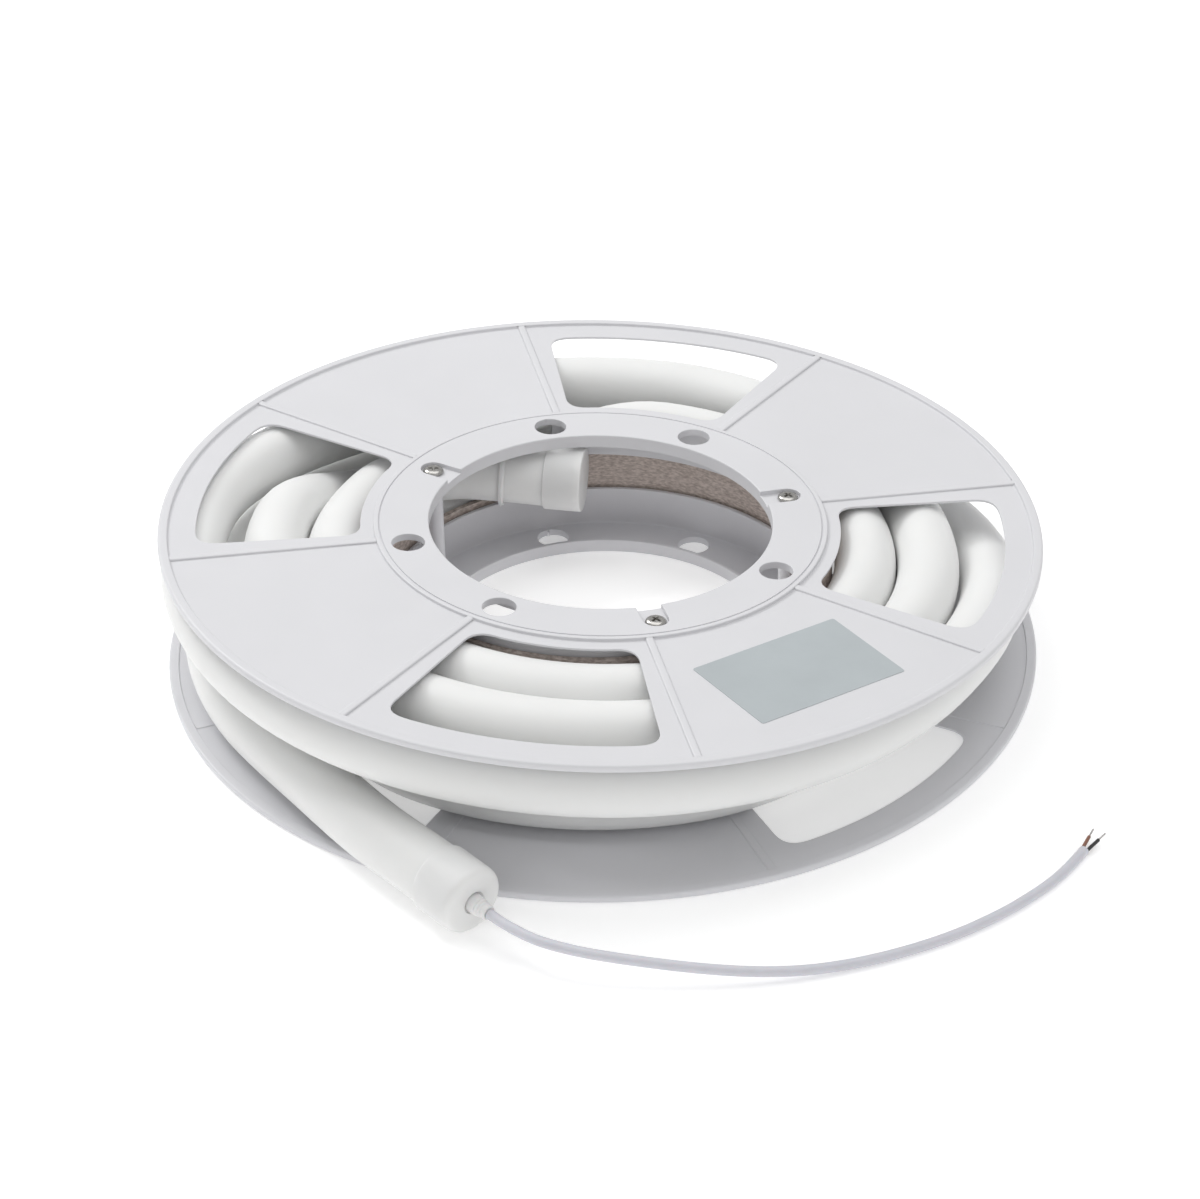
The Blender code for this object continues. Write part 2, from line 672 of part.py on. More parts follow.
def add_lead(frame, finish, outer_cap):
    mouth = outer_cap @ Vector((0, 0, SLEEVE_LENGTH + SEAT_GAP))
    points = smooth_path([mouth, *LEAD_ROUTE], LEAD_POINT_STEP)
    curve_tube("power_lead", points, LEAD_RADIUS, LEAD_BEVEL_RESOLUTION, frame, finish)
    return points[-1], (points[-1] - points[-2]).normalized()


def add_wire(name, frame, finish, end, heading, side):
    """One insulated wire with its bare end, leaving the lead's cut face."""
    across = Vector((-heading.y, heading.x, 0)).normalized()
    start = end + heading * SEAT_GAP + across * side * WIRE_SPACING / 2
    spread = Matrix.Rotation(math.radians(side * WIRE_SPREAD), 3, "Z")
    lift = Matrix.Rotation(math.radians(-WIRE_LIFT), 3, across)
    bm = bmesh.new()
    add_turned(bm, (
        (0, 0),
        (WIRE_RADIUS, 0),
        (WIRE_RADIUS, WIRE_LENGTH),
        (STRAND_RADIUS, WIRE_LENGTH),
        (STRAND_RADIUS, WIRE_LENGTH + STRAND_LENGTH),
        (0, WIRE_LENGTH + STRAND_LENGTH)), WIRE_SEGMENTS)
    wire = add_object(name, mesh_from(bm, name), frame, finish)
    clear = math.tan(math.radians(WIRE_SPREAD + WIRE_LIFT)) * WIRE_RADIUS
    wire.matrix_local = along(start + heading * clear, lift @ spread @ heading)


def stand_on_floor(frame, left_out):
    """Move the whole part so that its box, without the lead, stands centred on the origin."""
    bpy.context.view_layer.update()
    scene_now = bpy.context.evaluated_depsgraph_get()
    corners = []
    for item in bpy.context.scene.objects:
        if item.hide_render or item.type == "EMPTY" or item.name in left_out:
            continue
        seen = item.evaluated_get(scene_now)
        shape = seen.to_mesh()
        corners += [seen.matrix_world @ corner.co for corner in shape.vertices]
        seen.to_mesh_clear()
    for axis in (0, 1):
        values = [corner[axis] for corner in corners]
        frame.location[axis] = -(min(values) + max(values)) / 2
    frame.location.z = -min(corner.z for corner in corners)


def main():
    clear_scene()
    white = material("moulded_white", (0.80, 0.80, 0.82), 0.38)
    white_lower = material("moulded_white_lower", (0.76, 0.76, 0.78), 0.42)
    flex_white = material("flex_white", (0.86, 0.86, 0.85), 0.5)
    cap_white = material("cap_white", (0.84, 0.84, 0.83), 0.45)
    inner_cap_white = material("inner_cap_white", (0.82, 0.82, 0.81), 0.45)
    board = material("core_board", (0.26, 0.20, 0.15), 0.9)
    steel = material("screw_steel", (0.62, 0.61, 0.59), 0.3, 1.0)
    paper = material("label_grey", (0.50, 0.56, 0.58), 0.55)
    sleeve_white = material("sleeve_white", (0.78, 0.78, 0.78), 0.5)
    lead_white = material("lead_white", (0.80, 0.80, 0.82), 0.45)
    brown = material("wire_brown", (0.22, 0.10, 0.06), 0.45)
    black = material("wire_black", (0.02, 0.02, 0.02), 0.45)
    tie_white = material("tie_white", (0.84, 0.84, 0.84), 0.4)

    reel = add_object("reel_frame", None, None)
    lower_frame = add_object("lower_frame", None, reel)
    lower_frame.rotation_euler.x = math.pi
    upper_frame = add_object("upper_frame", None, reel)
    axis = Matrix.Rotation(math.radians(LEAN_ANGLE), 4, polar(1, LEAN_HIGH_AZ - 90))
    base = Matrix.Translation((0, 0, sheet_underside(0, 0)))
    upper_frame.matrix_local = base @ axis @ Matrix.Translation((0, 0, HALF_THICKNESS))

    lower = reel_half(
        "lower_reel_half", lower_frame, white_lower, LOWER_SPOKE_AZ, LOWER_GATE_AZ, -1)
    add_screw_posts(lower, lower_frame)
    upper = reel_half(
        "upper_reel_half", upper_frame, white, UPPER_SPOKE_AZ, UPPER_GATE_AZ, 1)
    add_screw_holes(upper, upper_frame)
    add_screws(upper_frame, steel)
    add_label(upper_frame, paper)
    add_core(reel, board)

    inner_cap = cap_place(*inner_end_points()[:2])
    outer_cap = cap_place(*reversed(tail_points()[-2:]))
    add_flex(reel, flex_white, inner_cap, outer_cap)
    add_cap("inner_end_cap", reel, inner_cap_white, inner_cap, INNER_CAP_LENGTH)
    add_cap("outer_end_cap", reel, cap_white, outer_cap, OUTER_CAP_LENGTH)
    add_tie(reel, tie_white)

    add_sleeve(reel, sleeve_white, outer_cap)
    end, heading = add_lead(reel, lead_white, outer_cap)
    add_wire("wire_brown", reel, brown, end, heading, 1)
    add_wire("wire_black", reel, black, end, heading, -1)
    stand_on_floor(reel, ("lead_sleeve", "power_lead", "wire_brown", "wire_black"))


main()
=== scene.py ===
"""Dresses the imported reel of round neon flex: finer shapes, finishes, light and camera."""

import logging
import math
from dataclasses import dataclass
from enum import Enum

import bmesh
import bpy
from mathutils import Matrix, Vector


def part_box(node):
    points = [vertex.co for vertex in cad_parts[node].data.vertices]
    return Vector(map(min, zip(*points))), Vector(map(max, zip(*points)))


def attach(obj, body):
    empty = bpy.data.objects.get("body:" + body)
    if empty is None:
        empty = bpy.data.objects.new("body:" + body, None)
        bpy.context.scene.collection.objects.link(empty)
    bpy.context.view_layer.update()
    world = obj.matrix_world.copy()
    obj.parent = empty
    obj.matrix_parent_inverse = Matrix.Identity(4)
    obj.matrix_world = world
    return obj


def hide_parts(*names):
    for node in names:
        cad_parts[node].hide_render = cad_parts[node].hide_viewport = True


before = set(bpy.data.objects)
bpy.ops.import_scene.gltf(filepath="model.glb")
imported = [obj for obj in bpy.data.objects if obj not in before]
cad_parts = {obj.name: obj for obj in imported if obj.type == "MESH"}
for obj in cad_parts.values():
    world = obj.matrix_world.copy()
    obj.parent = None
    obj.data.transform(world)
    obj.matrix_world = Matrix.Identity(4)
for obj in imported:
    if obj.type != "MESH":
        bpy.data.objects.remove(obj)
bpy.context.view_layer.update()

MM = 0.001
PATH_STEP = 4 * MM
WHITE = (1.0, 1.0, 1.0)
ROOT = "root"
Pair = tuple[float, float]
Triple = tuple[float, float, float]
log = logging.getLogger("neon_reel")


def polar(radius: float, azimuth: float, height: float = 0.0) -> Vector:
    """A point from its distance to the axis, its azimuth in degrees and its height."""
    angle = math.radians(azimuth)
    return Vector((radius * math.cos(angle), radius * math.sin(angle), height))


def ease(value: float, start: float, end: float) -> float:
    """0 before start, 1 after end and a smooth S between."""
    share = min(max((value - start) / (end - start), 0.0), 1.0)
    return share * share * (3.0 - 2.0 * share)


def smooth_path(points: list[Vector], step: float) -> list[Vector]:
    """Points on the smooth curve through the given ones.

    Args:
        points: the points that the curve goes through.
        step: the distance between the new points, in metres.

    Returns:
        The new points, from the first given point to the last.
    """
    knots = [Vector(point) for point in points]
    knots = [knots[0] * 2 - knots[1], *knots, knots[-1] * 2 - knots[-2]]
    path = []
    for first, second, third, fourth in zip(knots, knots[1:], knots[2:], knots[3:]):
        pieces = max(1, round((third - second).length / step))
        for index in range(pieces):
            t = index / pieces
            bend = first * -1 + second * 3 - third * 3 + fourth
            rise = first * 2 - second * 5 + third * 4 - fourth
            path.append((second * 2 + (third - first) * t + rise * t ** 2 + bend * t ** 3) * 0.5)
    path.append(knots[-2])
    return path


def along(start: Vector, heading: Vector) -> Matrix:
    """A placement that takes +Z to a heading, with its origin at a point."""
    return Matrix.Translation(start) @ heading.to_track_quat("Z", "Y").to_matrix().to_4x4()


# The reel's own measures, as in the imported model

@dataclass(frozen=True)
class ReelSizes:
    """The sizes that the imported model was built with, in metres and degrees."""

    flange_radius: float = 200 * MM
    rim_width: float = 4.5 * MM
    rib_height: float = 1.5 * MM
    sheet: float = 2.0 * MM
    hub_ring: float = 103 * MM
    bore: float = 78 * MM
    lip_wall: float = 2.0 * MM
    lip_depth: float = 3.0 * MM
    collar: float = 102 * MM
    collar_wall: float = 2.2 * MM
    collar_depth: float = 19 * MM
    gate_half_angle: float = 23.0
    seat_gap: float = 0.3 * MM
    core_clearance: float = 1.0 * MM
    core_wall: float = 2.5 * MM
    flex_radius: float = 14 * MM
    turn_gap: float = 0.6 * MM
    layer_gap: float = 0.3 * MM
    edge_clearance: float = 0.3 * MM
    lean: float = 2.0
    lean_high: float = 211.0
    fitting_radius: float = 89.4 * MM
    cap_wall: float = 1.0 * MM

    @property
    def half(self) -> float:
        """The thickness of one half's sheet and ribs."""
        return self.rib_height + self.sheet

    @property
    def core_inner(self) -> float:
        """The core's bore, clear of the leaning collar."""
        sway = self.collar_depth * math.sin(math.radians(self.lean))
        return self.collar + sway + self.seat_gap

    @property
    def core_outer(self) -> float:
        """The core's outer radius."""
        return self.core_inner + self.core_wall

    @property
    def turn_a(self) -> float:
        """The radius of the flex's inner turns."""
        return self.core_outer + self.core_clearance + self.flex_radius

    @property
    def half_pitch(self) -> float:
        """Half the distance between neighbouring turns."""
        return self.flex_radius + self.turn_gap / 2

    @property
    def turn_b(self) -> float:
        """The radius of the flex's middle turns."""
        return self.turn_a + 2 * self.half_pitch

    @property
    def turn_c(self) -> float:
        """The radius of the flex's outer turn in the lower layer."""
        return self.turn_b + 2 * self.half_pitch

    @property
    def low(self) -> float:
        """The height of the lower layer's middle."""
        return self.half + self.seat_gap + self.flex_radius

    @property
    def high(self) -> float:
        """The height of the upper layer's middle, in the grooves of the lower one."""
        reach = 2 * (self.flex_radius + self.layer_gap)
        return self.low + math.sqrt(reach ** 2 - self.half_pitch ** 2)

    @property
    def stacked(self) -> float:
        """The height of a turn right over a lower one."""
        return self.low + 2 * self.flex_radius + self.layer_gap

    @property
    def cap_radius(self) -> float:
        """The outer radius of the flex's caps."""
        return self.flex_radius + self.seat_gap + self.cap_wall

    def underside(self, x: float, y: float) -> float:
        """Find the leaning upper half's inner face over a point.

        Args:
            x: the point's first coordinate, from the reel's axis.
            y: its second coordinate.

        Returns:
            The face's height.
        """
        turn = math.radians(self.lean_high)
        reach = x * math.cos(turn) + y * math.sin(turn) + self.turn_b + self.flex_radius
        top = self.high + self.flex_radius + self.seat_gap
        return top + reach * math.tan(math.radians(self.lean))

    def upper_frame(self) -> Matrix:
        """Place the upper half, which is drawn with its outermost face at height 0.

        Returns:
            Its placement, from the reel's axis.
        """
        axis = Matrix.Rotation(math.radians(self.lean), 4, polar(1, self.lean_high - 90))
        base = Matrix.Translation((0, 0, self.underside(0, 0)))
        return base @ axis @ Matrix.Translation((0, 0, self.half))


REEL = ReelSizes()


def reel_axis() -> Matrix:
    """The placement of the reel's axis in the row frame, from the lower half's box."""
    low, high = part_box("lower_reel_half")
    return Matrix.Translation(((low[0] + high[0]) / 2, (low[1] + high[1]) / 2, 0.0))


# Finishes

class Sheet:
    """A new material's nodes, with short calls for those that the finishes share."""

    def __init__(self, name: str, colour: Triple, roughness: float,
                 metallic: float = 0.0) -> None:
        """Start a material with even values on the shader's own sockets.

        Args:
            name: the material's name.
            colour: its base colour.
            roughness: how matt it is.
            metallic: 1 for bare metal.
        """
        self.material = bpy.data.materials.new(name)
        self.material.use_nodes = True
        self.nodes = self.material.node_tree.nodes
        self.links = self.material.node_tree.links
        self.shader = self.nodes["Principled BSDF"]
        self.even("Base Color", (*colour, 1.0))
        self.even("Roughness", roughness)
        self.even("Metallic", metallic)
        self.place = self.nodes.new("ShaderNodeTexCoord").outputs["Object"]

    def even(self, socket: str, value: float | tuple) -> None:
        """Set one value on the shader's own socket."""
        self.shader.inputs[socket].default_value = value

    def noise(self, scale: float, detail: float = 2.0,
              stretch: Triple = (1, 1, 1)) -> bpy.types.NodeSocket:
        """Cloudy noise on object coordinates.

        Args:
            scale: how many clouds lie along a metre.
            detail: how many finer layers are added.
            stretch: scale factors for the three axes.

        Returns:
            The noise's value.
        """
        mapping = self.nodes.new("ShaderNodeMapping")
        mapping.inputs["Scale"].default_value = stretch
        self.links.new(self.place, mapping.inputs["Vector"])
        cloud = self.nodes.new("ShaderNodeTexNoise")
        cloud.inputs["Scale"].default_value = scale
        cloud.inputs["Detail"].default_value = detail
        self.links.new(mapping.outputs["Vector"], cloud.inputs["Vector"])
        return cloud.outputs["Fac"]

    def spread(self, source: bpy.types.NodeSocket, low: float, high: float,
               start: float = 0.3, end: float = 0.7) -> bpy.types.NodeSocket:
        """Bring a value from a range to another one.

        Args:
            source: the value.
            low: the new range's start.
            high: the new range's end.
            start: the value's own range's start.
            end: the value's own range's end.

        Returns:
            The value in its new range.
        """
        ranger = self.nodes.new("ShaderNodeMapRange")
        for socket, value in (("From Min", start), ("From Max", end),
                              ("To Min", low), ("To Max", high)):
            ranger.inputs[socket].default_value = value
        self.links.new(source, ranger.inputs["Value"])
        return ranger.outputs["Result"]

    def grade(self, pattern: bpy.types.NodeSocket, first: Triple, second: Triple,
              start: float = 0.3, end: float = 0.7) -> None:
        """Vary the base colour by a pattern.

        Args:
            pattern: the pattern's value.
            first: the colour where the pattern is low.
            second: the colour where the pattern is high.
            start: the value below which it is all the first colour.
            end: the value above which it is all the second one.
        """
        share = self.spread(pattern, 0, 1, start, end)
        mixer = self.nodes.new("ShaderNodeMix")
        mixer.data_type = "RGBA"
        mixer.inputs["A"].default_value = (*first, 1.0)
        mixer.inputs["B"].default_value = (*second, 1.0)
        self.links.new(share, mixer.inputs["Factor"])
        self.links.new(mixer.outputs["Result"], self.shader.inputs["Base Color"])

    def wear(self, pattern: bpy.types.NodeSocket, low: float, high: float) -> None:
        """Vary the roughness by a pattern, between two values."""
        self.links.new(self.spread(pattern, low, high), self.shader.inputs["Roughness"])

    def relief(self, height: bpy.types.NodeSocket, depth: float, strength: float) -> None:
        """Raise the surface by a pattern, over any relief that it has.

        Args:
            height: the pattern's value.
            depth: how deep the pattern goes, in metres.
            strength: the share of it that shows.
        """
        bump = self.nodes.new("ShaderNodeBump")
        bump.inputs["Distance"].default_value = depth
        bump.inputs["Strength"].default_value = strength
        self.links.new(height, bump.inputs["Height"])
        previous = self.shader.inputs["Normal"]
        if previous.is_linked:
            self.links.new(previous.links[0].from_socket, bump.inputs["Normal"])
        self.links.new(bump.outputs["Normal"], previous)


def tint(colour: Triple, share: float) -> Triple:
    """A colour made darker or lighter by a share."""
    return tuple(min(1.0, channel * share) for channel in colour)


@dataclass(frozen=True)
class MouldedPlastic:
    """White moulded plastic with soft flow marks and a fine spark-eroded grain."""

    name: str
    colour: Triple
    roughness: float
    flow: float = 0.025

    def make(self) -> bpy.types.Material:
        """Build the material.

        Returns:
            The new material.
        """
        sheet = Sheet(self.name, self.colour, self.roughness)
        sheet.even("Subsurface Weight", 0.08)
        sheet.even("Subsurface Radius", WHITE)
        sheet.even("Subsurface Scale", 1.5 * MM)
        clouds = sheet.noise(scale=14.0, detail=3.0)
        sheet.grade(clouds, tint(self.colour, 1 - self.flow), self.colour)
        smears = sheet.noise(scale=55.0, detail=4.0)
        sheet.wear(smears, self.roughness - 0.05, self.roughness + 0.06)
        sheet.relief(clouds, depth=0.5 * MM, strength=0.16)
        sheet.relief(sheet.noise(scale=2600.0), depth=0.02 * MM, strength=0.35)
        return sheet.material


@dataclass(frozen=True)
class MilkySilicone:
    """Milky silicone that lets light in, with a matt skin and faint handling marks."""

    name: str
    colour: Triple
    roughness: float
    depth: float
    weight: float = 0.55

    def make(self) -> bpy.types.Material:
        """Build the material.

        Returns:
            The new material.
        """
        sheet = Sheet(self.name, self.colour, self.roughness)
        sheet.even("Subsurface Weight", self.weight)
        sheet.even("Subsurface Radius", (1.0, 0.97, 0.93))
        sheet.even("Subsurface Scale", self.depth)
        sheet.even("Sheen Weight", 0.12)
        sheet.even("Sheen Roughness", 0.6)
        clouds = sheet.noise(scale=18.0, detail=3.0)
        sheet.grade(clouds, tint(self.colour, 0.975), self.colour)
        marks = sheet.noise(scale=90.0, detail=5.0, stretch=(1.0, 1.0, 0.6))
        sheet.wear(marks, self.roughness - 0.05, self.roughness + 0.08)
        sheet.relief(clouds, depth=0.6 * MM, strength=0.2)
        sheet.relief(sheet.noise(scale=1800.0), depth=0.015 * MM, strength=0.3)
        return sheet.material


@dataclass(frozen=True)
class FibreBoard:
    """Raw grey brown board with fibres and flecks."""

    name: str
    dark: Triple
    light: Triple
    roughness: float = 0.92

    def make(self) -> bpy.types.Material:
        """Build the material.

        Returns:
            The new material.
        """
        sheet = Sheet(self.name, self.light, self.roughness)
        fibres = sheet.noise(scale=700.0, detail=4.0, stretch=(0.6, 0.6, 1.6))
        sheet.grade(fibres, self.dark, self.light, start=0.35, end=0.65)
        sheet.relief(fibres, depth=0.15 * MM, strength=0.6)
        sheet.relief(sheet.noise(scale=60.0, detail=3.0), depth=0.6 * MM, strength=0.3)
        return sheet.material


@dataclass(frozen=True)
class ZincPlate:
    """Bright plated metal with a faint mottle."""

    name: str
    colour: Triple
    roughness: float = 0.24

    def make(self) -> bpy.types.Material:
        """Build the material.

        Returns:
            The new material.
        """
        sheet = Sheet(self.name, self.colour, self.roughness, metallic=1.0)
        mottle = sheet.noise(scale=700.0, detail=4.0)
        sheet.grade(mottle, tint(self.colour, 0.8), self.colour)
        sheet.wear(mottle, self.roughness - 0.08, self.roughness + 0.06)
        sheet.relief(sheet.noise(scale=2200.0, detail=3.0), depth=0.02 * MM, strength=0.4)
        return sheet.material


@dataclass(frozen=True)
class LabelFilm:
    """A matt grey film, a little uneven where it was stuck down."""

    name: str
    colour: Triple
    roughness: float = 0.5

    def make(self) -> bpy.types.Material:
        """Build the material.

        Returns:
            The new material.
        """
        sheet = Sheet(self.name, self.colour, self.roughness)
        waves = sheet.noise(scale=40.0, detail=3.0)
        sheet.grade(waves, self.colour, tint(self.colour, 1.06))
        smears = sheet.noise(scale=220.0, detail=4.0)
        sheet.wear(smears, self.roughness - 0.08, self.roughness + 0.08)
        sheet.relief(waves, depth=0.25 * MM, strength=0.35)
        sheet.relief(sheet.noise(scale=3200.0), depth=0.01 * MM, strength=0.4)
        return sheet.material


@dataclass(frozen=True)
class CableJacket:
    """A smooth cable jacket or wire insulation with faint extrusion ripples."""

    name: str
    colour: Triple
    roughness: float

    def make(self) -> bpy.types.Material:
        """Build the material.

        Returns:
            The new material.
        """
        sheet = Sheet(self.name, self.colour, self.roughness)
        sheet.even("Subsurface Weight", 0.1)
        sheet.even("Subsurface Scale", 1.0 * MM)
        ripples = sheet.noise(scale=160.0, detail=3.0)
        sheet.grade(ripples, tint(self.colour, 0.95), self.colour)
        smears = sheet.noise(scale=400.0, detail=3.0)
        sheet.wear(smears, self.roughness - 0.06, self.roughness + 0.06)
        sheet.relief(ripples, depth=0.12 * MM, strength=0.3)
        return sheet.material


FINISHES = {
    "reel_upper": MouldedPlastic("moulded_white", (0.68, 0.68, 0.70), 0.40),
    "reel_lower": MouldedPlastic("moulded_white_lower", (0.70, 0.70, 0.725), 0.33),
    "flex": MilkySilicone("milky_flex", (0.80, 0.803, 0.795), 0.5, 5 * MM),
    "cap_outer": MilkySilicone("cap_silicone", (0.80, 0.80, 0.79), 0.42, 4 * MM, 0.6),
    "cap_inner": MilkySilicone("inner_cap_silicone", (0.78, 0.78, 0.77), 0.36, 4 * MM, 0.6),
    "sleeve": CableJacket("sleeve_white", (0.78, 0.78, 0.78), 0.45),
    "lead": CableJacket("lead_white", (0.62, 0.62, 0.67), 0.4),
    "wire_brown": CableJacket("wire_brown", (0.26, 0.12, 0.08), 0.35),
    "wire_black": CableJacket("wire_black", (0.025, 0.025, 0.025), 0.35),
    "core_board": FibreBoard("core_board", (0.40, 0.335, 0.30), (0.66, 0.575, 0.525)),
    "screw_steel": ZincPlate("screw_zinc", (0.50, 0.49, 0.47)),
    "strand": ZincPlate("tinned_strand", (0.72, 0.70, 0.68)),
    "tie": CableJacket("tie_nylon", (0.84, 0.84, 0.84), 0.38),
    "label": LabelFilm("label_film", (0.41, 0.447, 0.462)),
}


# Mesh helpers

def add_turned(bm: bmesh.types.BMesh, profile: list[Pair], segments: int,
               place: Matrix = Matrix.Identity(4)) -> None:
    """Add a closed solid of revolution about +Z.

    Args:
        bm: the bmesh that takes it.
        profile: its points' radii and heights; a point at radius 0 is a pole.
        segments: how many faces go round.
        place: where the solid goes.
    """
    rings = []
    for radius, height in profile:
        if radius == 0:
            rings.append([bm.verts.new(place @ Vector((0, 0, height)))])
            continue
        turn = [polar(radius, 360 * index / segments, height) for index in range(segments)]
        rings.append([bm.verts.new(place @ point) for point in turn])
    pairs = list(zip(rings, rings[1:]))
    if len(rings[0]) > 1:
        pairs.append((rings[-1], rings[0]))
    for low, high in pairs:
        for index in range(segments):
            ahead = (index + 1) % segments
            corners = [low[index % len(low)], low[ahead % len(low)]]
            corners += [high[ahead % len(high)], high[index % len(high)]]
            corners = list(dict.fromkeys(corners))
            if len(corners) > 2:
                bm.faces.new(corners)


def rounded(corners: list[Triple], steps: int = 4, closed: bool = True) -> list[Pair]:
    """Round the corners of a section or an outline.

    Args:
        corners: each corner's two coordinates and its rounding radius.
        steps: how many pieces each rounding has.
        closed: whether the last corner joins the first.

    Returns:
        The rounded outline's points.
    """
    points = []
    count = len(corners)
    for index, (x, y, radius) in enumerate(corners):
        here = Vector((x, y))
        if radius == 0 or (not closed and index in (0, count - 1)):
            points.append((x, y))
            continue
        before, after = corners[index - 1], corners[(index + 1) % count]
        back = Vector(before[:2]) - here
        on = Vector(after[:2]) - here
        half = back.angle(on) / 2
        # Two roundings share their side; a lone one may take nearly all of it
        reach = min(radius / math.tan(half),
                    back.length * (0.49 if before[2] else 0.98),
                    on.length * (0.49 if after[2] else 0.98))
        start = here + back.normalized() * reach
        end = here + on.normalized() * reach
        for step in range(steps + 1):
            t = step / steps
            point = start * (1 - t) ** 2 + here * 2 * t * (1 - t) + end * t ** 2
            points.append((point.x, point.y))
    return points


def add_loft(bm: bmesh.types.BMesh, near: list[Vector], far: list[Vector]) -> None:
    """Add a closed solid between two outlines.

    Args:
        bm: the bmesh that takes it.
        near: the points of one end.
        far: the points of the other end, as many and in the same order.
    """
    low = [bm.verts.new(point) for point in near]
    high = [bm.verts.new(point) for point in far]
    bm.faces.new(list(reversed(low)))
    bm.faces.new(high)
    for index in range(len(low)):
        ahead = (index + 1) % len(low)
        bm.faces.new((low[index], low[ahead], high[ahead], high[index]))


def add_prism(bm: bmesh.types.BMesh, outline: list[Pair], bottom: float, top: float) -> None:
    """Add an upright prism over a plan outline, from one height to another."""
    add_loft(bm, [(x, y, bottom) for x, y in outline], [(x, y, top) for x, y in outline])


def sector(inner: float, outer: float, azimuth: float, half_angle: float, steps: int = 24,
           corner: float = 0.0) -> list[Pair]:
    """Draw the outline of a ring's sector.

    Args:
        inner: its inner radius.
        outer: its outer radius.
        azimuth: the azimuth of its middle, in degrees.
        half_angle: how far it reaches to each side, in degrees.
        steps: how many pieces each arc has.
        corner: how far its corners are rounded, or 0.

    Returns:
        The outline's points.
    """
    turns = [azimuth + half_angle * (2 * index / steps - 1) for index in range(steps + 1)]
    edge = [polar(outer, turn) for turn in turns]
    edge += [polar(inner, turn) for turn in reversed(turns)]
    if not corner:
        return [(point.x, point.y) for point in edge]
    ends = (0, steps, steps + 1, 2 * steps + 1)
    kept = []
    for index, point in enumerate(edge):
        near = min((point - edge[end]).length for end in ends)
        if index in ends:
            kept.append((point.x, point.y, corner))
        elif near > corner * 1.05:
            kept.append((point.x, point.y, 0.0))
    return rounded(kept, 6)


def closed_mesh(bm: bmesh.types.BMesh, name: str) -> bpy.types.Mesh:
    """Turn a bmesh into a smooth mesh with its faces pointing out.

    Args:
        bm: the bmesh, which is freed.
        name: the mesh's name.

    Returns:
        The mesh.
    """
    bmesh.ops.recalc_face_normals(bm, faces=bm.faces)
    mesh = bpy.data.meshes.new(name)
    bm.to_mesh(mesh)
    bm.free()
    mesh.shade_smooth()
    return mesh


def creased(mesh: bpy.types.Mesh, degrees: float) -> bpy.types.Mesh:
    """Keep a smooth mesh's edges sharp where they turn by more than an angle."""
    mesh.set_sharp_from_angle(angle=math.radians(degrees))
    return mesh


def joined(first: bpy.types.Mesh, second: bpy.types.Mesh, slot: int) -> bpy.types.Mesh:
    """Add a second mesh's faces to a first one.

    Args:
        first: the mesh that takes the faces.
        second: the mesh that gives them.
        slot: the first mesh's material slot that they take.

    Returns:
        The first mesh.
    """
    bm = bmesh.new()
    bm.from_mesh(first)
    count = len(bm.faces)
    bm.from_mesh(second)
    bm.faces.ensure_lookup_table()
    for face in bm.faces[count:]:
        face.material_index = slot
    bm.to_mesh(first)
    bm.free()
    return first


def add_object(name: str, data: bpy.types.ID) -> bpy.types.Object:
    """Add an object at the origin.

    Args:
        name: the object's name.
        data: its mesh, lamp or camera.

    Returns:
        The object.
    """
    item = bpy.data.objects.new(name, data)
    bpy.context.scene.collection.objects.link(item)
    return item


def settled(item: bpy.types.Object) -> bpy.types.Mesh:
    """Take the mesh of an object as its modifiers leave it, and remove the object.

    Args:
        item: the object.

    Returns:
        The mesh.
    """
    shape = bpy.data.meshes.new_from_object(
        item.evaluated_get(bpy.context.evaluated_depsgraph_get()))
    bpy.data.objects.remove(item, do_unlink=True)
    return shape


def carved(base: bpy.types.Mesh, steps: list[tuple[str, bpy.types.Mesh]]) -> bpy.types.Mesh:
    """Join or cut a mesh with others, one after another.

    Args:
        base: the mesh to start from.
        steps: each step's operation, UNION or DIFFERENCE, and its mesh.

    Returns:
        The carved mesh.
    """
    item = add_object("carving", base)
    tools = []
    for operation, mesh in steps:
        tool = add_object("carving_tool", mesh)
        tools.append(tool)
        step = item.modifiers.new("carve", "BOOLEAN")
        step.operation = operation
        step.object = tool
    shape = settled(item)
    for tool in tools:
        bpy.data.objects.remove(tool, do_unlink=True)
    return shape


def softened(mesh: bpy.types.Mesh, width: float, angle: float = 50.0) -> bpy.types.Mesh:
    """Break a mesh's sharp edges by a small rounding and weight its normals by area.

    Args:
        mesh: the mesh.
        width: how wide the rounding is.
        angle: the angle in degrees from which an edge is sharp.

    Returns:
        The softened mesh.
    """
    item = add_object("softening", mesh)
    edge = item.modifiers.new("edge", "BEVEL")
    edge.width = width
    edge.segments = 2
    edge.limit_method = "ANGLE"
    edge.angle_limit = math.radians(angle)
    edge.use_clamp_overlap = False
    edge.miter_outer = "MITER_ARC"
    item.modifiers.new("normals", "WEIGHTED_NORMAL").keep_sharp = True
    return settled(item)


def dress(name: str, mesh: bpy.types.Mesh, finish: str, place: Matrix,
          *nodes: str) -> bpy.types.Object:
    """Make a finished piece: place it in its mesh, give it its finish and tie it to the frame.

    Args:
        name: the piece's name.
        mesh: its mesh, which has its materials already where there is more than one.
        finish: the record's slot whose finish it takes.
        place: where it goes.
        nodes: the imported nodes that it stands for.

    Returns:
        The finished piece.
    """
    mesh.transform(place)
    if not any(mesh.materials):
        mesh.materials.clear()
        mesh.materials.append(FINISHES[finish].make())
    piece = add_object(name, mesh)
    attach(piece, ROOT)
    if nodes:
        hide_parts(*nodes)
    log.info("%s: %d faces, stands for %s", name, len(mesh.polygons), ", ".join(nodes))
    return piece


# Geometry node trees

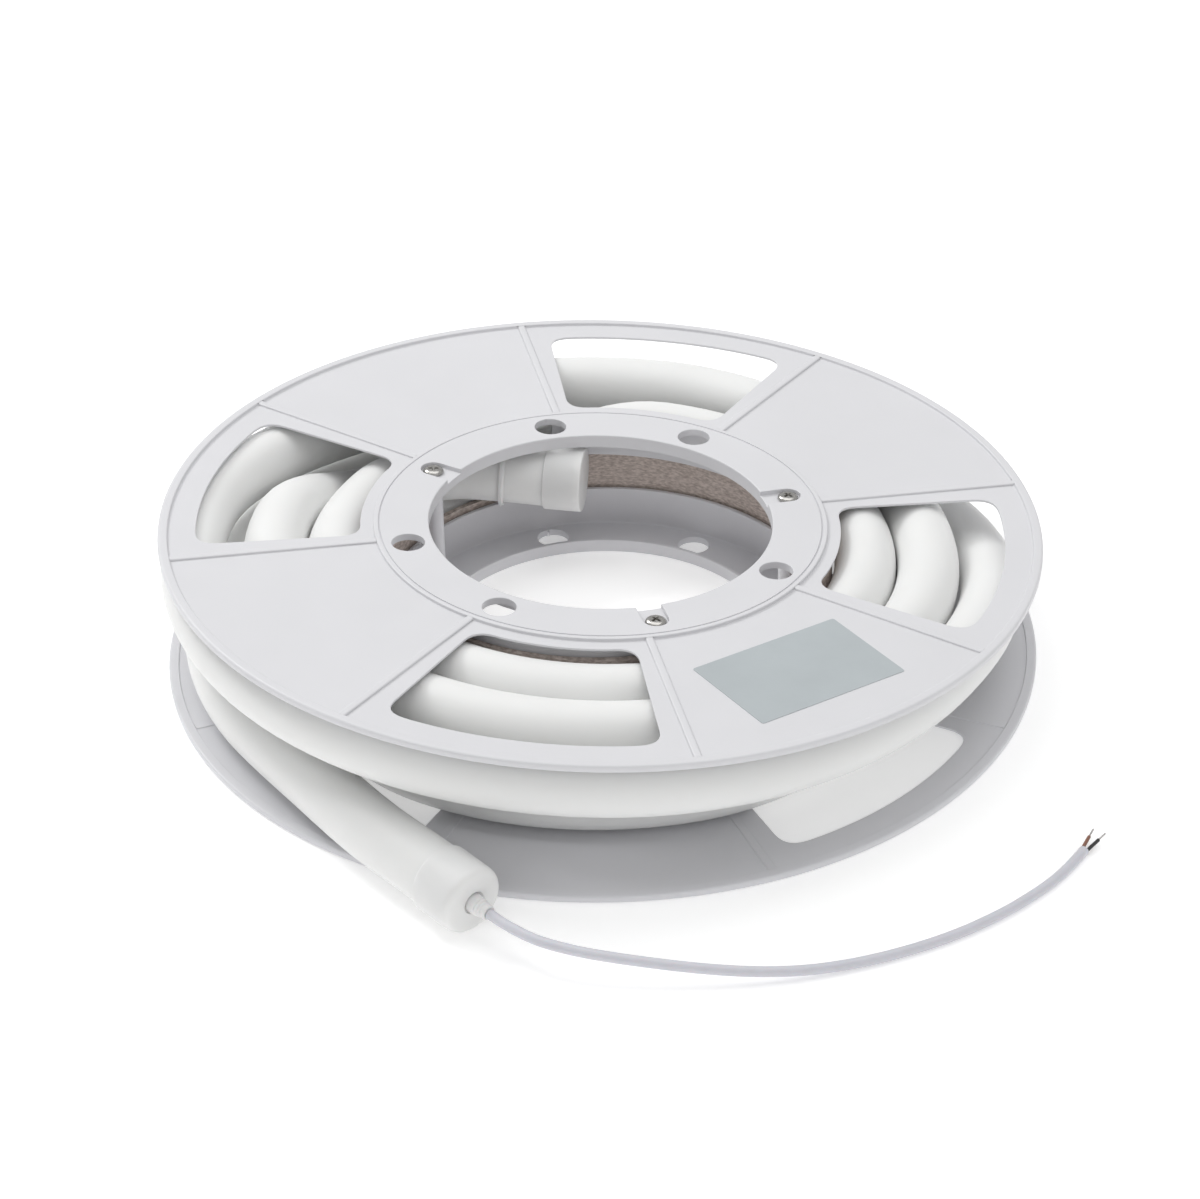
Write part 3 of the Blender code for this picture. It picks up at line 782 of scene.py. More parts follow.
class ShapeTree:
    """A geometry node tree built in the script, with named inputs and one finish."""

    def __init__(self, name: str, inputs: dict[str, float | int]) -> None:
        """Start a tree.

        Args:
            name: the tree's name.
            inputs: each input's name and value; whole numbers make whole number inputs.
        """
        self.tree = bpy.data.node_groups.new(name, "GeometryNodeTree")
        self.values = inputs
        face = self.tree.interface
        face.new_socket("Geometry", in_out="OUTPUT", socket_type="NodeSocketGeometry")
        face.new_socket("Geometry", in_out="INPUT", socket_type="NodeSocketGeometry")
        self.sockets = {}
        for label, value in inputs.items():
            kind = "NodeSocketInt" if isinstance(value, int) else "NodeSocketFloat"
            self.sockets[label] = face.new_socket(label, in_out="INPUT", socket_type=kind)
        self.source = self.tree.nodes.new("NodeGroupInput")

    def add(self, kind: str, inputs: dict | None = None, **settings: str) -> bpy.types.Node:
        """Add a node.

        Args:
            kind: the node's type.
            inputs: what each input takes: a socket, or a plain value.
            settings: the node's own settings.

        Returns:
            The new node.
        """
        node = self.tree.nodes.new(kind)
        for label, value in settings.items():
            setattr(node, label, value)
        for label, value in (inputs or {}).items():
            socket = node.inputs[label]
            if isinstance(value, bpy.types.NodeSocket):
                self.tree.links.new(value, socket)
            else:
                socket.default_value = value
        return node

    def end(self, shape: bpy.types.NodeSocket, finish: bpy.types.Material) -> None:
        """Close the tree: real geometry, smooth, in one finish.

        Args:
            shape: the geometry that the tree made.
            finish: its material.
        """
        real = self.add("GeometryNodeRealizeInstances", {"Geometry": shape})
        smooth = self.add("GeometryNodeSetShadeSmooth", {"Geometry": real.outputs[0]})
        done = self.add("GeometryNodeSetMaterial", {"Geometry": smooth.outputs[0]})
        done.inputs["Material"].default_value = finish
        sink = self.tree.nodes.new("NodeGroupOutput")
        self.tree.links.new(done.outputs[0], sink.inputs[0])

    def grow(self, seed_mesh: bpy.types.Mesh) -> bpy.types.Mesh:
        """Run the tree on a mesh.

        Args:
            seed_mesh: what the tree starts from.

        Returns:
            The result, as a plain mesh.
        """
        item = add_object("growing", seed_mesh)
        modifier = item.modifiers.new("shape", "NODES")
        modifier.node_group = self.tree
        for label, value in self.values.items():
            modifier[self.sockets[label].identifier] = value
        return settled(item)


def points_mesh(name: str, points: list[Vector], linked: bool = False) -> bpy.types.Mesh:
    """Make a mesh of bare points.

    Args:
        name: the mesh's name.
        points: the points.
        linked: whether an edge joins each point to the next.

    Returns:
        The mesh.
    """
    edges = [(index, index + 1) for index in range(len(points) - 1)] if linked else []
    mesh = bpy.data.meshes.new(name)
    mesh.from_pydata([tuple(point) for point in points], edges, [])
    return mesh


def swept_tube(points: list[Vector], radius: float, sides: int,
               finish: bpy.types.Material, crease: float = 60.0) -> bpy.types.Mesh:
    """Sweep a round tube along a path and close its ends.

    Args:
        points: the path.
        radius: the tube's radius.
        sides: how many faces go round it.
        finish: its material.
        crease: the angle in degrees from which an edge stays sharp.

    Returns:
        The tube's mesh.
    """
    tree = ShapeTree("tube_along_path", {"Radius": radius, "Sides": sides})
    given = tree.source.outputs
    route = tree.add("GeometryNodeMeshToCurve", {"Mesh": given["Geometry"]})
    ring = tree.add("GeometryNodeCurvePrimitiveCircle", {
        "Resolution": given["Sides"], "Radius": given["Radius"]})
    tube = tree.add("GeometryNodeCurveToMesh", {
        "Curve": route.outputs["Curve"], "Profile Curve": ring.outputs["Curve"],
        "Fill Caps": True})
    tree.end(tube.outputs["Mesh"], finish)
    mesh = tree.grow(points_mesh("path", points, linked=True))
    bm = bmesh.new()
    bm.from_mesh(mesh)
    bmesh.ops.recalc_face_normals(bm, faces=bm.faces)
    bm.to_mesh(mesh)
    bm.free()
    return creased(mesh, crease)


# Reel

class Side(Enum):
    """Which half of the reel, and which way its azimuths run as it is drawn."""

    LOWER = -1
    UPPER = 1


@dataclass
class ReelHalf:
    """One moulded half, drawn with its outermost face up at height 0."""

    side: Side
    spoke_azimuth: float
    gate_azimuth: float
    spoke_count: int = 8
    spoke_width: float = 3.6 * MM
    spoke_step: float = 0.4 * MM
    recess: float = 0.8 * MM
    groove: float = 0.7 * MM
    window_count: int = 4
    window_inner: float = 109 * MM
    window_outer: float = 183 * MM
    window_half_angle: float = 18.85
    window_corner: float = 10 * MM
    holes: tuple[float, ...] = (60.0, 105.0, 195.0, 240.0, 330.0)
    screws: tuple[float, ...] = (15.0, 150.0, 285.0)
    hole_radius: float = 7.5 * MM
    pocket_width: float = 11.5 * MM
    pocket_depth: float = 2.2 * MM
    screw_hole: float = 2.45 * MM
    post_wall: float = 1.5 * MM
    foot_radius: float = 6.5 * MM
    foot_height: float = 10 * MM
    bore_depth: float = 13 * MM
    segments: int = 240
    window_steps: int = 36
    hole_segments: int = 48
    post_segments: int = 32
    bore_segments: int = 24
    pocket_steps: int = 24
    edge: float = 0.3 * MM
    overcut: float = 1 * MM

    def place(self) -> Matrix:
        """Place this half.

        Returns:
            Its placement, from the reel's axis.
        """
        if self.side is Side.UPPER:
            return REEL.upper_frame()
        return Matrix.Rotation(math.pi, 4, "X")

    def body(self) -> bpy.types.Mesh:
        """Turn the body: rim bead, sheet, hub ring, lip and collar, with soft corners.

        Returns:
            The body's mesh.
        """
        top = -REEL.rib_height
        inside = -REEL.half
        sunk = inside + self.recess
        foot = inside - REEL.collar_depth
        lip = inside - REEL.lip_depth
        bead = REEL.flange_radius - REEL.rim_width
        collar_inner = REEL.collar - REEL.collar_wall
        lip_outer = REEL.bore + REEL.lip_wall
        groove_inner = REEL.hub_ring - 4 * self.groove
        groove_outer = REEL.hub_ring - 3 * self.groove
        bm = bmesh.new()
        add_turned(bm, rounded([
            (REEL.flange_radius, 0.0, 1.5 * MM), (REEL.flange_radius, inside, 1.1 * MM),
            (bead, inside, 0.3 * MM), (bead, sunk, 0.2 * MM),
            (REEL.hub_ring, sunk, 0.2 * MM), (REEL.hub_ring, inside, 0.3 * MM),
            (REEL.collar, inside, 0.8 * MM), (REEL.collar, foot, 0.6 * MM),
            (collar_inner, foot, 0.6 * MM), (collar_inner, inside, 0.8 * MM),
            (lip_outer, inside, 0.6 * MM), (lip_outer, lip, 0.5 * MM),
            (REEL.bore, lip, 0.5 * MM), (REEL.bore, 0.0, 0.8 * MM),
            (groove_inner, 0.0, 0.15 * MM), (groove_inner, -self.groove, 0.0),
            (groove_outer, -self.groove, 0.0), (groove_outer, 0.0, 0.15 * MM),
            (REEL.hub_ring, 0.0, 0.6 * MM), (REEL.hub_ring, top, 0.5 * MM),
            (bead, top, 0.8 * MM), (bead, 0.0, 1.3 * MM)]), self.segments)
        return closed_mesh(bm, "half_body")

    def spokes(self) -> bpy.types.Mesh:
        """Draw the radial ribs, with a rounded back.

        Returns:
            The ribs' mesh.
        """
        side = self.spoke_width / 2
        start = REEL.hub_ring - self.overcut
        end = REEL.flange_radius - REEL.rim_width / 2
        bottom = self.spoke_step - REEL.half
        section = rounded([
            (-side, bottom, 0.2 * MM), (side, bottom, 0.2 * MM),
            (side, -self.spoke_step, 1.0 * MM), (-side, -self.spoke_step, 1.0 * MM)])
        bm = bmesh.new()
        for index in range(self.spoke_count):
            azimuth = self.side.value * self.spoke_azimuth + 360 * index / self.spoke_count
            turn = Matrix.Rotation(math.radians(azimuth), 4, "Z")
            add_loft(bm, *([turn @ Vector((reach, x, z)) for x, z in section]
                           for reach in (start, end)))
        return closed_mesh(bm, "spokes")

    def openings(self) -> bpy.types.Mesh:
        """Draw the cutters of the windows, hub holes, screw pockets and collar gate.

        Returns:
            The cutters' mesh.
        """
        bay = 360 / self.spoke_count
        under = -REEL.half - self.overcut
        bm = bmesh.new()
        for index in range(self.window_count):
            azimuth = self.side.value * self.spoke_azimuth + bay * 1.5
            azimuth += 360 * index / self.window_count
            outline = sector(self.window_inner, self.window_outer, azimuth,
                             self.window_half_angle, self.window_steps, self.window_corner)
            add_prism(bm, outline, under, self.overcut)
        for azimuth in self.holes:
            self.add_bar(bm, azimuth, self.hole_radius, (under, self.overcut),
                         self.hole_segments)
        for azimuth in self.screws:
            self.add_pocket(bm, azimuth)
        gate = sector(REEL.collar - REEL.collar_wall - self.overcut, REEL.collar + self.overcut,
                      self.side.value * self.gate_azimuth, REEL.gate_half_angle)
        add_prism(bm, gate, -REEL.half - REEL.collar_depth - self.overcut,
                  -REEL.half - self.spoke_step)
        return closed_mesh(bm, "openings")

    def add_bar(self, bm: bmesh.types.BMesh, azimuth: float, radius: float, span: Pair,
                segments: int) -> None:
        """Add a round bar at a hub fitting's place.

        Args:
            bm: the bmesh that takes it.
            azimuth: the fitting's azimuth.
            radius: the bar's radius.
            span: the heights of its ends.
            segments: how many faces go round it.
        """
        place = Matrix.Translation(polar(REEL.fitting_radius, self.side.value * azimuth))
        bottom, top = span
        add_turned(bm, [(0, bottom), (radius, bottom), (radius, top), (0, top)], segments, place)

    def add_pocket(self, bm: bmesh.types.BMesh, azimuth: float) -> None:
        """Add the cutter of a screw pocket, open to the bore and round at its outer end.

        Args:
            bm: the bmesh that takes it.
            azimuth: the screw's azimuth.
        """
        side = self.pocket_width / 2
        start = REEL.bore - 2 * self.overcut
        turn = Matrix.Rotation(math.radians(self.side.value * azimuth), 2)
        outline = [(start, side), (start, -side)]
        for index in range(self.pocket_steps + 1):
            end = math.radians(180 * index / self.pocket_steps - 90)
            outline.append((REEL.fitting_radius + side * math.cos(end), side * math.sin(end)))
        add_prism(bm, [turn @ Vector(point) for point in outline],
                  -self.pocket_depth, self.overcut)

    def posts(self) -> tuple[bpy.types.Mesh, bpy.types.Mesh]:
        """Draw the lower half's screw posts.

        Returns:
            The posts and the bores in them.
        """
        posts = bmesh.new()
        bores = bmesh.new()
        radius = self.screw_hole + self.post_wall
        lean = radius * math.tan(math.radians(REEL.lean))
        inside = (REEL.half + self.pocket_depth) / 2
        foot = REEL.half + self.foot_height
        for azimuth in self.screws:
            spot = polar(REEL.fitting_radius, azimuth)
            top = REEL.underside(spot.x, spot.y) - lean - REEL.seat_gap
            profile = rounded([
                (0, -inside, 0), (self.foot_radius, -inside, 0),
                (self.foot_radius, -foot, 0.8 * MM), (radius, -foot, 0.8 * MM),
                (radius, -top, 0.4 * MM), (0, -top, 0)], 3, False)
            add_turned(posts, profile, self.post_segments,
                       Matrix.Translation(polar(REEL.fitting_radius, -azimuth)))
            self.add_bar(bores, azimuth, self.screw_hole,
                         (-top - self.overcut, -top + self.bore_depth), self.bore_segments)
        return closed_mesh(posts, "posts"), closed_mesh(bores, "post_bores")

    def screw_holes(self) -> bpy.types.Mesh:
        """Draw the cutters of the holes through the pockets' floors.

        Returns:
            The cutters' mesh.
        """
        bm = bmesh.new()
        for azimuth in self.screws:
            self.add_bar(bm, azimuth, self.screw_hole,
                         (-REEL.half - self.overcut, self.overcut), self.bore_segments)
        return closed_mesh(bm, "screw_holes")

    def build(self, axis: Matrix) -> bpy.types.Object:
        """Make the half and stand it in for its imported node.

        Args:
            axis: the placement of the reel's axis.

        Returns:
            The finished half.
        """
        steps = [("UNION", self.spokes()), ("DIFFERENCE", self.openings())]
        if self.side is Side.LOWER:
            posts, bores = self.posts()
            steps += [("UNION", posts), ("DIFFERENCE", bores)]
        else:
            steps += [("DIFFERENCE", self.screw_holes())]
        mesh = softened(carved(self.body(), steps), self.edge)
        word = self.side.name.lower()
        return dress(f"{word}_half", mesh, f"reel_{word}", axis @ self.place(),
                     f"{word}_reel_half")


@dataclass
class Fasteners:
    """The screws that hold the halves together."""

    azimuths: tuple[float, ...] = (15.0, 150.0, 285.0)
    seat: float = -1.9 * MM
    head_radius: float = 4.75 * MM
    head_height: float = 2.0 * MM
    shank_radius: float = 1.7 * MM
    shank_root: float = 1.36 * MM
    shank_length: float = 10 * MM
    thread_start: float = 1.2 * MM
    thread_pitch: float = 1.4 * MM
    thread_rise: float = 0.3 * MM
    thread_share: float = 0.8
    recess_span: float = 5.2 * MM
    recess_width: float = 1.3 * MM
    recess_depth: float = 1.75 * MM
    recess_over: float = 0.5 * MM
    recess_taper: Pair = (0.45, 1.1)
    # The head's outline from its crown down, in shares of its radius and height
    crown: tuple[Pair, ...] = (
        (0, 1), (0.4, 0.985), (0.68, 0.9), (0.88, 0.68), (0.97, 0.42), (1, 0.22),
        (0.985, 0.06), (0.94, 0))
    segments: int = 40
    crease: float = 35.0
    seed: int = 5

    def shape(self) -> bpy.types.Mesh:
        """Turn one pan head screw, its seat at height 0.

        Returns:
            The screw, with its cross recess.
        """
        profile = [(self.head_radius * across, self.head_height * up)
                   for across, up in self.crown]
        profile.append((self.shank_radius, 0))
        for index in range(int(self.shank_length * self.thread_share / self.thread_pitch)):
            base = -self.thread_start - index * self.thread_pitch
            profile += [(self.shank_root, base), (self.shank_radius, base - self.thread_rise),
                        (self.shank_root, base - 2 * self.thread_rise)]
        profile.append((0, -self.shank_length))
        bm = bmesh.new()
        add_turned(bm, profile, self.segments)
        return carved(closed_mesh(bm, "screw"), [("DIFFERENCE", self.recess())])

    def recess(self) -> bpy.types.Mesh:
        """Draw the cross recess: twelve corners that narrow towards its floor.

        Returns:
            The cutter's mesh.
        """
        far = self.recess_span / 2
        near = self.recess_width / 2
        corners = [Matrix.Rotation(math.radians(90 * turn), 2) @ Vector(corner)
                   for turn in range(4) for corner in ((far, -near), (far, near), (near, near))]
        heights = (self.head_height - self.recess_depth, self.head_height + self.recess_over)
        bm = bmesh.new()
        add_loft(bm, *([(*corner * share, height) for corner in corners]
                       for height, share in zip(heights, self.recess_taper)))
        return closed_mesh(bm, "recess")

    def build(self, axis: Matrix) -> bpy.types.Object:
        """Set the screws in their pockets, each turned at random from a fixed seed.

        Args:
            axis: the placement of the reel's axis.

        Returns:
            The finished screws.
        """
        master = add_object("screw_master", self.shape())
        tree = ShapeTree("screws_in_pockets", {"Seed": self.seed})
        copied = tree.add("GeometryNodeObjectInfo", {"Object": master})
        points = tree.add("GeometryNodeMeshToPoints", {"Mesh": tree.source.outputs["Geometry"]})
        turn = tree.add("FunctionNodeRandomValue", {"Seed": tree.source.outputs["Seed"]})
        turn.inputs[3].default_value = math.pi / 2
        angles = tree.add("ShaderNodeCombineXYZ", {"Z": turn.outputs[1]})
        set_in = tree.add("GeometryNodeInstanceOnPoints", {
            "Points": points.outputs["Points"], "Instance": copied.outputs["Geometry"],
            "Rotation": angles.outputs["Vector"]})
        tree.end(set_in.outputs["Instances"], FINISHES["screw_steel"].make())
        mesh = tree.grow(points_mesh("screw_spots", [
            polar(REEL.fitting_radius, azimuth, self.seat) for azimuth in self.azimuths]))
        bpy.data.objects.remove(master, do_unlink=True)
        return dress("pan_head_screws", creased(mesh, self.crease), "screw_steel",
                     axis @ REEL.upper_frame(), "screw_1", "screw_2", "screw_3")


@dataclass
class Label:
    """The film label on the upper half, left without print."""

    length: float = 75 * MM
    width: float = 50 * MM
    thickness: float = 0.15 * MM
    corner: float = 1.2 * MM
    radius: float = 149.2 * MM
    azimuth: float = 303.75
    lift: float = 0.04 * MM
    crease: float = 40.0

    def build(self, axis: Matrix) -> bpy.types.Object:
        """Lay the label on its panel.

        Args:
            axis: the placement of the reel's axis.

        Returns:
            The finished label.
        """
        x = self.width / 2
        y = self.length / 2
        corners = [(-x, -y, self.corner), (x, -y, self.corner),
                   (x, y, self.corner), (-x, y, self.corner)]
        bottom = -REEL.rib_height + self.lift
        bm = bmesh.new()
        add_prism(bm, rounded(corners, 6), bottom, bottom + self.thickness)
        spot = Matrix.Translation(polar(self.radius, self.azimuth))
        turn = Matrix.Rotation(math.radians(self.azimuth), 4, "Z")
        return dress("blank_label", creased(closed_mesh(bm, "label"), self.crease), "label",
                     axis @ REEL.upper_frame() @ spot @ turn, "label")


@dataclass
class CoreRing:
    """The board ring round both collars, notched where the flex goes through."""

    notch_from: float = 102.0
    notch_to: float = 149.0
    notch_floor: float = 25.2 * MM
    soft: float = 0.4 * MM
    overcut: float = 1 * MM
    segments: int = 180
    crease: float = 50.0

    def build(self, axis: Matrix) -> bpy.types.Object:
        """Make the ring.

        Args:
            axis: the placement of the reel's axis.

        Returns:
            The finished ring.
        """
        bottom = REEL.half + REEL.seat_gap
        spot = polar(REEL.core_outer, REEL.lean_high + 180)
        top = REEL.underside(spot.x, spot.y) - REEL.seat_gap
        bm = bmesh.new()
        add_turned(bm, rounded([
            (REEL.core_outer, top, self.soft), (REEL.core_outer, bottom, self.soft),
            (REEL.core_inner, bottom, self.soft), (REEL.core_inner, top, self.soft)], 2),
            self.segments)
        cut = bmesh.new()
        middle = (self.notch_from + self.notch_to) / 2
        half_angle = (self.notch_to - self.notch_from) / 2
        add_prism(cut, sector(REEL.core_inner - self.overcut, REEL.core_outer + self.overcut,
                              middle, half_angle), self.notch_floor, top + self.overcut)
        mesh = carved(closed_mesh(bm, "core"), [("DIFFERENCE", closed_mesh(cut, "notch"))])
        return dress("board_core", creased(mesh, self.crease), "core_board", axis, "core_ring")


# Flex

@dataclass
class Flex:
    """The wound flex with its two capped ends."""

    step_deg: int = 3
    sides: int = 40
    winding_start: int = 150
    winding_end: int = 1650
    knot_deg: int = 12
    inner_length: float = 18 * MM
    outer_length: float = 21.5 * MM
    inner_finish: Pair = (0.9 * MM, 0.0)
    outer_finish: Pair = (4.2 * MM, 5.0 * MM)
    well_depth: float = 1.3 * MM
    end_wall: float = 3 * MM
    bore_gap: float = 0.02 * MM
    cap_segments: int = 72
    crease: float = 60.0
    # Flex radii inside the inner turn, the azimuth, and flex radii below a stacked turn
    inner_end: tuple[Triple, ...] = (
        (3.143, 95.7, 0.329), (2.607, 109.0, 0.300), (1.900, 119.4, 0.221),
        (0.986, 129.7, 0.107), (0.371, 139.7, 0.007))
    # Flex radii outside the flange, the azimuth, and flex radii above the rest on the floor
    tail: tuple[Triple, ...] = (
        (-1.239, 228.3, 0.171), (-0.331, 239.9, 0.171),
        (0.598, 248.6, 0.143), (1.755, 256.1, 0.007))
    # Winding angles over which the flex moves up or down, out or in. A step to the side
    # also says by how many half pitches it goes out
    inner_rises: Pair = (150, 200)
    first_drop: Pair = (435, 485)
    side_steps: tuple[Triple, ...] = (
        (530, 600, 2), (645, 715, -1), (740, 800, 1), (1100, 1160, 1))
    rise: Pair = (850, 892)
    to_the_edge: Pair = (1200, 1250)
    off_the_edge: Pair = (1350, 1420)
    last_drop: Pair = (1405, 1480)

    def winding_point(self, turn: float) -> Vector:
        """Find the flex's middle in the winding.

        Args:
            turn: the winding angle in degrees, counted from the first turn's zero.

        Returns:
            The point, from the reel's axis.
        """
        radius = REEL.turn_a
        for start, end, half_pitches in self.side_steps:
            radius += REEL.half_pitch * half_pitches * ease(turn, start, end)
        outer = REEL.flange_radius - REEL.flex_radius - REEL.edge_clearance
        radius += (outer - REEL.turn_b - REEL.half_pitch) * ease(turn, *self.to_the_edge)
        radius -= (outer - REEL.turn_c) * ease(turn, *self.off_the_edge)
        spot = polar(radius, turn)
        against = REEL.underside(spot.x, spot.y) - REEL.flex_radius - 3 * REEL.seat_gap
        high = REEL.stacked + (max(against, REEL.high) - REEL.stacked) * ease(
            turn, *self.inner_rises)
        layer = 1 - ease(turn, *self.first_drop) + ease(turn, *self.rise)
        layer -= ease(turn, *self.last_drop)
        return Vector((spot.x, spot.y, REEL.low + (high - REEL.low) * layer))

    def inner_points(self) -> list[Vector]:
        """Place the inner end, from its cap's closed face outwards.

        Returns:
            Its points.
        """
        radius = REEL.flex_radius
        return [polar(REEL.turn_a - inset * radius, azimuth, REEL.stacked - drop * radius)
                for inset, azimuth, drop in self.inner_end]

    def tail_points(self) -> list[Vector]:
        """Place the tail, down to its cap's closed face.

        Returns:
            Its points.
        """
        radius = REEL.flex_radius
        return [polar(REEL.flange_radius + offset * radius, azimuth,
                      REEL.cap_radius + lift * radius)
                for offset, azimuth, lift in self.tail]

    def cap_places(self) -> tuple[Matrix, Matrix]:
        """Place the caps, with the origin on the closed face and +Z out of it.

        Returns:
            The placements of the inner and the outer cap.
        """
        inner = self.inner_points()
        tail = self.tail_points()
        return along(inner[0], inner[0] - inner[1]), along(tail[-1], tail[-1] - tail[-2])

    def route(self) -> list[Vector]:
        """Draw the flex's middle line, straight inside its caps.

        Returns:
            Its points, from the inner end to the tail.
        """
        first = [self.winding_point(self.winding_start + self.knot_deg * index)
                 for index in (0, 1)]
        last = [self.winding_point(self.winding_end - self.knot_deg * index)
                for index in (1, 0)]
        entry = smooth_path([*self.inner_points(), *first], PATH_STEP)
        leaving = smooth_path([*last, *self.tail_points()], PATH_STEP)
        back = round((first[1] - first[0]).length / PATH_STEP)
        on = round((last[1] - last[0]).length / PATH_STEP)
        turns = range(self.winding_start + self.step_deg, self.winding_end, self.step_deg)
        winding = [self.winding_point(turn) for turn in turns]
        path = entry[:-back] + winding + leaving[on:]
        ends = []
        for place, length in zip(self.cap_places(), (self.inner_length, self.outer_length)):
            ends.append([place @ Vector((0, 0, -depth - REEL.seat_gap))
                         for depth in (self.end_wall, length)])
            path = [point for point in path
                    if (point - place.translation).length > length + 2 * PATH_STEP]
        return ends[0] + path + list(reversed(ends[1]))

    def cap_mesh(self, length: float, softness: float, well: float) -> bpy.types.Mesh:
        """Make a moulded cup.

        Args:
            length: from its end to its mouth.
            softness: how far its end's edge is rounded.
            well: the radius of the sunk place that a lead comes out of, or 0.

        Returns:
            The cup's mesh.
        """
        radius = REEL.cap_radius
        bore = REEL.flex_radius + self.bore_gap
        end = [(0, 0, 0)]
        if well:
            floor = -self.well_depth
            end = [(0, floor, 0), (well, floor, 0.3 * MM), (well, 0, 0.6 * MM)]
        bm = bmesh.new()
        add_turned(bm, rounded([
            *end, (radius, 0, softness), (radius, -length, 0.5 * MM),
            (bore, -length, 0.2 * MM), (bore, -self.end_wall, 0.5 * MM),
            (0, -self.end_wall, 0)], 5, False), self.cap_segments)
        return creased(closed_mesh(bm, "cap"), self.crease)

    def build(self, axis: Matrix) -> list[bpy.types.Object]:
        """Make the flex and its caps.

        Args:
            axis: the placement of the reel's axis.

        Returns:
            The flex, the inner cap and the outer cap.
        """
        tube = swept_tube(self.route(), REEL.flex_radius, self.sides, FINISHES["flex"].make())
        flex = dress("wound_flex", tube, "flex", axis, "neon_flex")
        inner, outer = self.cap_places()
        return [
            flex,
            dress("hub_cap", self.cap_mesh(self.inner_length, *self.inner_finish),
                  "cap_inner", axis @ inner, "inner_end_cap"),
            dress("tail_cap", self.cap_mesh(self.outer_length, *self.outer_finish),
                  "cap_outer", axis @ outer, "outer_end_cap")]


@dataclass
class CableTie:
    """The toothed strap round the flex's inner end, with its square head."""

    flex: Flex
    width: float = 2.5 * MM
    thickness: float = 1.0 * MM
    tooth_pitch: float = 1.1 * MM
    head: Triple = (5.0 * MM, 4.0 * MM, 4.5 * MM)
    head_turn: float = -125.0
    soft: float = 0.25 * MM
    segments: int = 96
    crease: float = 45.0
    # A tooth's width as a share of the strap's, its length of the pitch, and its height
    tooth_width: float = 0.6
    tooth_length: float = 0.45
    tooth_height: float = 0.12 * MM

    def build(self, axis: Matrix) -> bpy.types.Object:
        """Make the tie, its teeth set along the strap by a tree.

        Args:
            axis: the placement of the reel's axis.

        Returns:
            The finished tie.
        """
        _, behind, spot, ahead, _ = self.flex.inner_points()
        place = along(spot, ahead - behind)
        place = place @ Matrix.Rotation(math.radians(self.head_turn), 4, "Z")
        inner = REEL.flex_radius + 2 * REEL.seat_gap
        outer = inner + self.thickness
        half = self.width / 2
        bm = bmesh.new()
        add_turned(bm, rounded([
            (outer, half, self.soft), (inner, half, self.soft), (inner, -half, self.soft),
            (outer, -half, self.soft)], 2), self.segments)
        long, wide, tall = self.head
        start = inner + self.thickness / 2
        add_prism(bm, rounded([
            (start, -wide / 2, 0.5 * MM), (start + long, -wide / 2, 0.8 * MM),
            (start + long, wide / 2, 0.8 * MM), (start, wide / 2, 0.5 * MM)]),
            -tall / 2, tall / 2)
        finish = FINISHES["tie"].make()
        strap = creased(closed_mesh(bm, "strap"), self.crease)
        strap.materials.append(finish)
        strap = joined(strap, self.teeth(outer, finish), 0)
        return dress("toothed_tie", strap, "tie", axis @ place, "cable_tie")

    def teeth(self, radius: float, finish: bpy.types.Material) -> bpy.types.Mesh:
        """Set fine cross teeth round the strap's outer face.

        Args:
            radius: the outer face's radius.
            finish: the teeth's material.

        Returns:
            The teeth's mesh.
        """
        count = int(2 * math.pi * radius / self.tooth_pitch)
        tree = ShapeTree("teeth_on_strap", {
            "Count": count, "Radius": radius, "Width": self.width * self.tooth_width,
            "Height": self.tooth_height, "Length": self.tooth_pitch * self.tooth_length})
        given = tree.source.outputs
        ring = tree.add("GeometryNodeCurvePrimitiveCircle", {
            "Resolution": given["Count"], "Radius": given["Radius"]})
        points = tree.add("GeometryNodeCurveToPoints", {
            "Curve": ring.outputs["Curve"], "Count": given["Count"]}, mode="COUNT")
        size = tree.add("ShaderNodeCombineXYZ", {
            "X": given["Width"], "Y": given["Height"], "Z": given["Length"]})
        tooth = tree.add("GeometryNodeMeshCube", {"Size": size.outputs["Vector"]})
        copies = tree.add("GeometryNodeInstanceOnPoints", {
            "Points": points.outputs["Points"], "Instance": tooth.outputs["Mesh"],
            "Rotation": points.outputs["Rotation"]})
        tree.end(copies.outputs["Instances"], finish)
        return tree.grow(bpy.data.meshes.new("teeth"))


# Lead

class Wire(Enum):
    """The lead's two wires and the side that each one leaves on."""

    BROWN = 1
    BLACK = -1


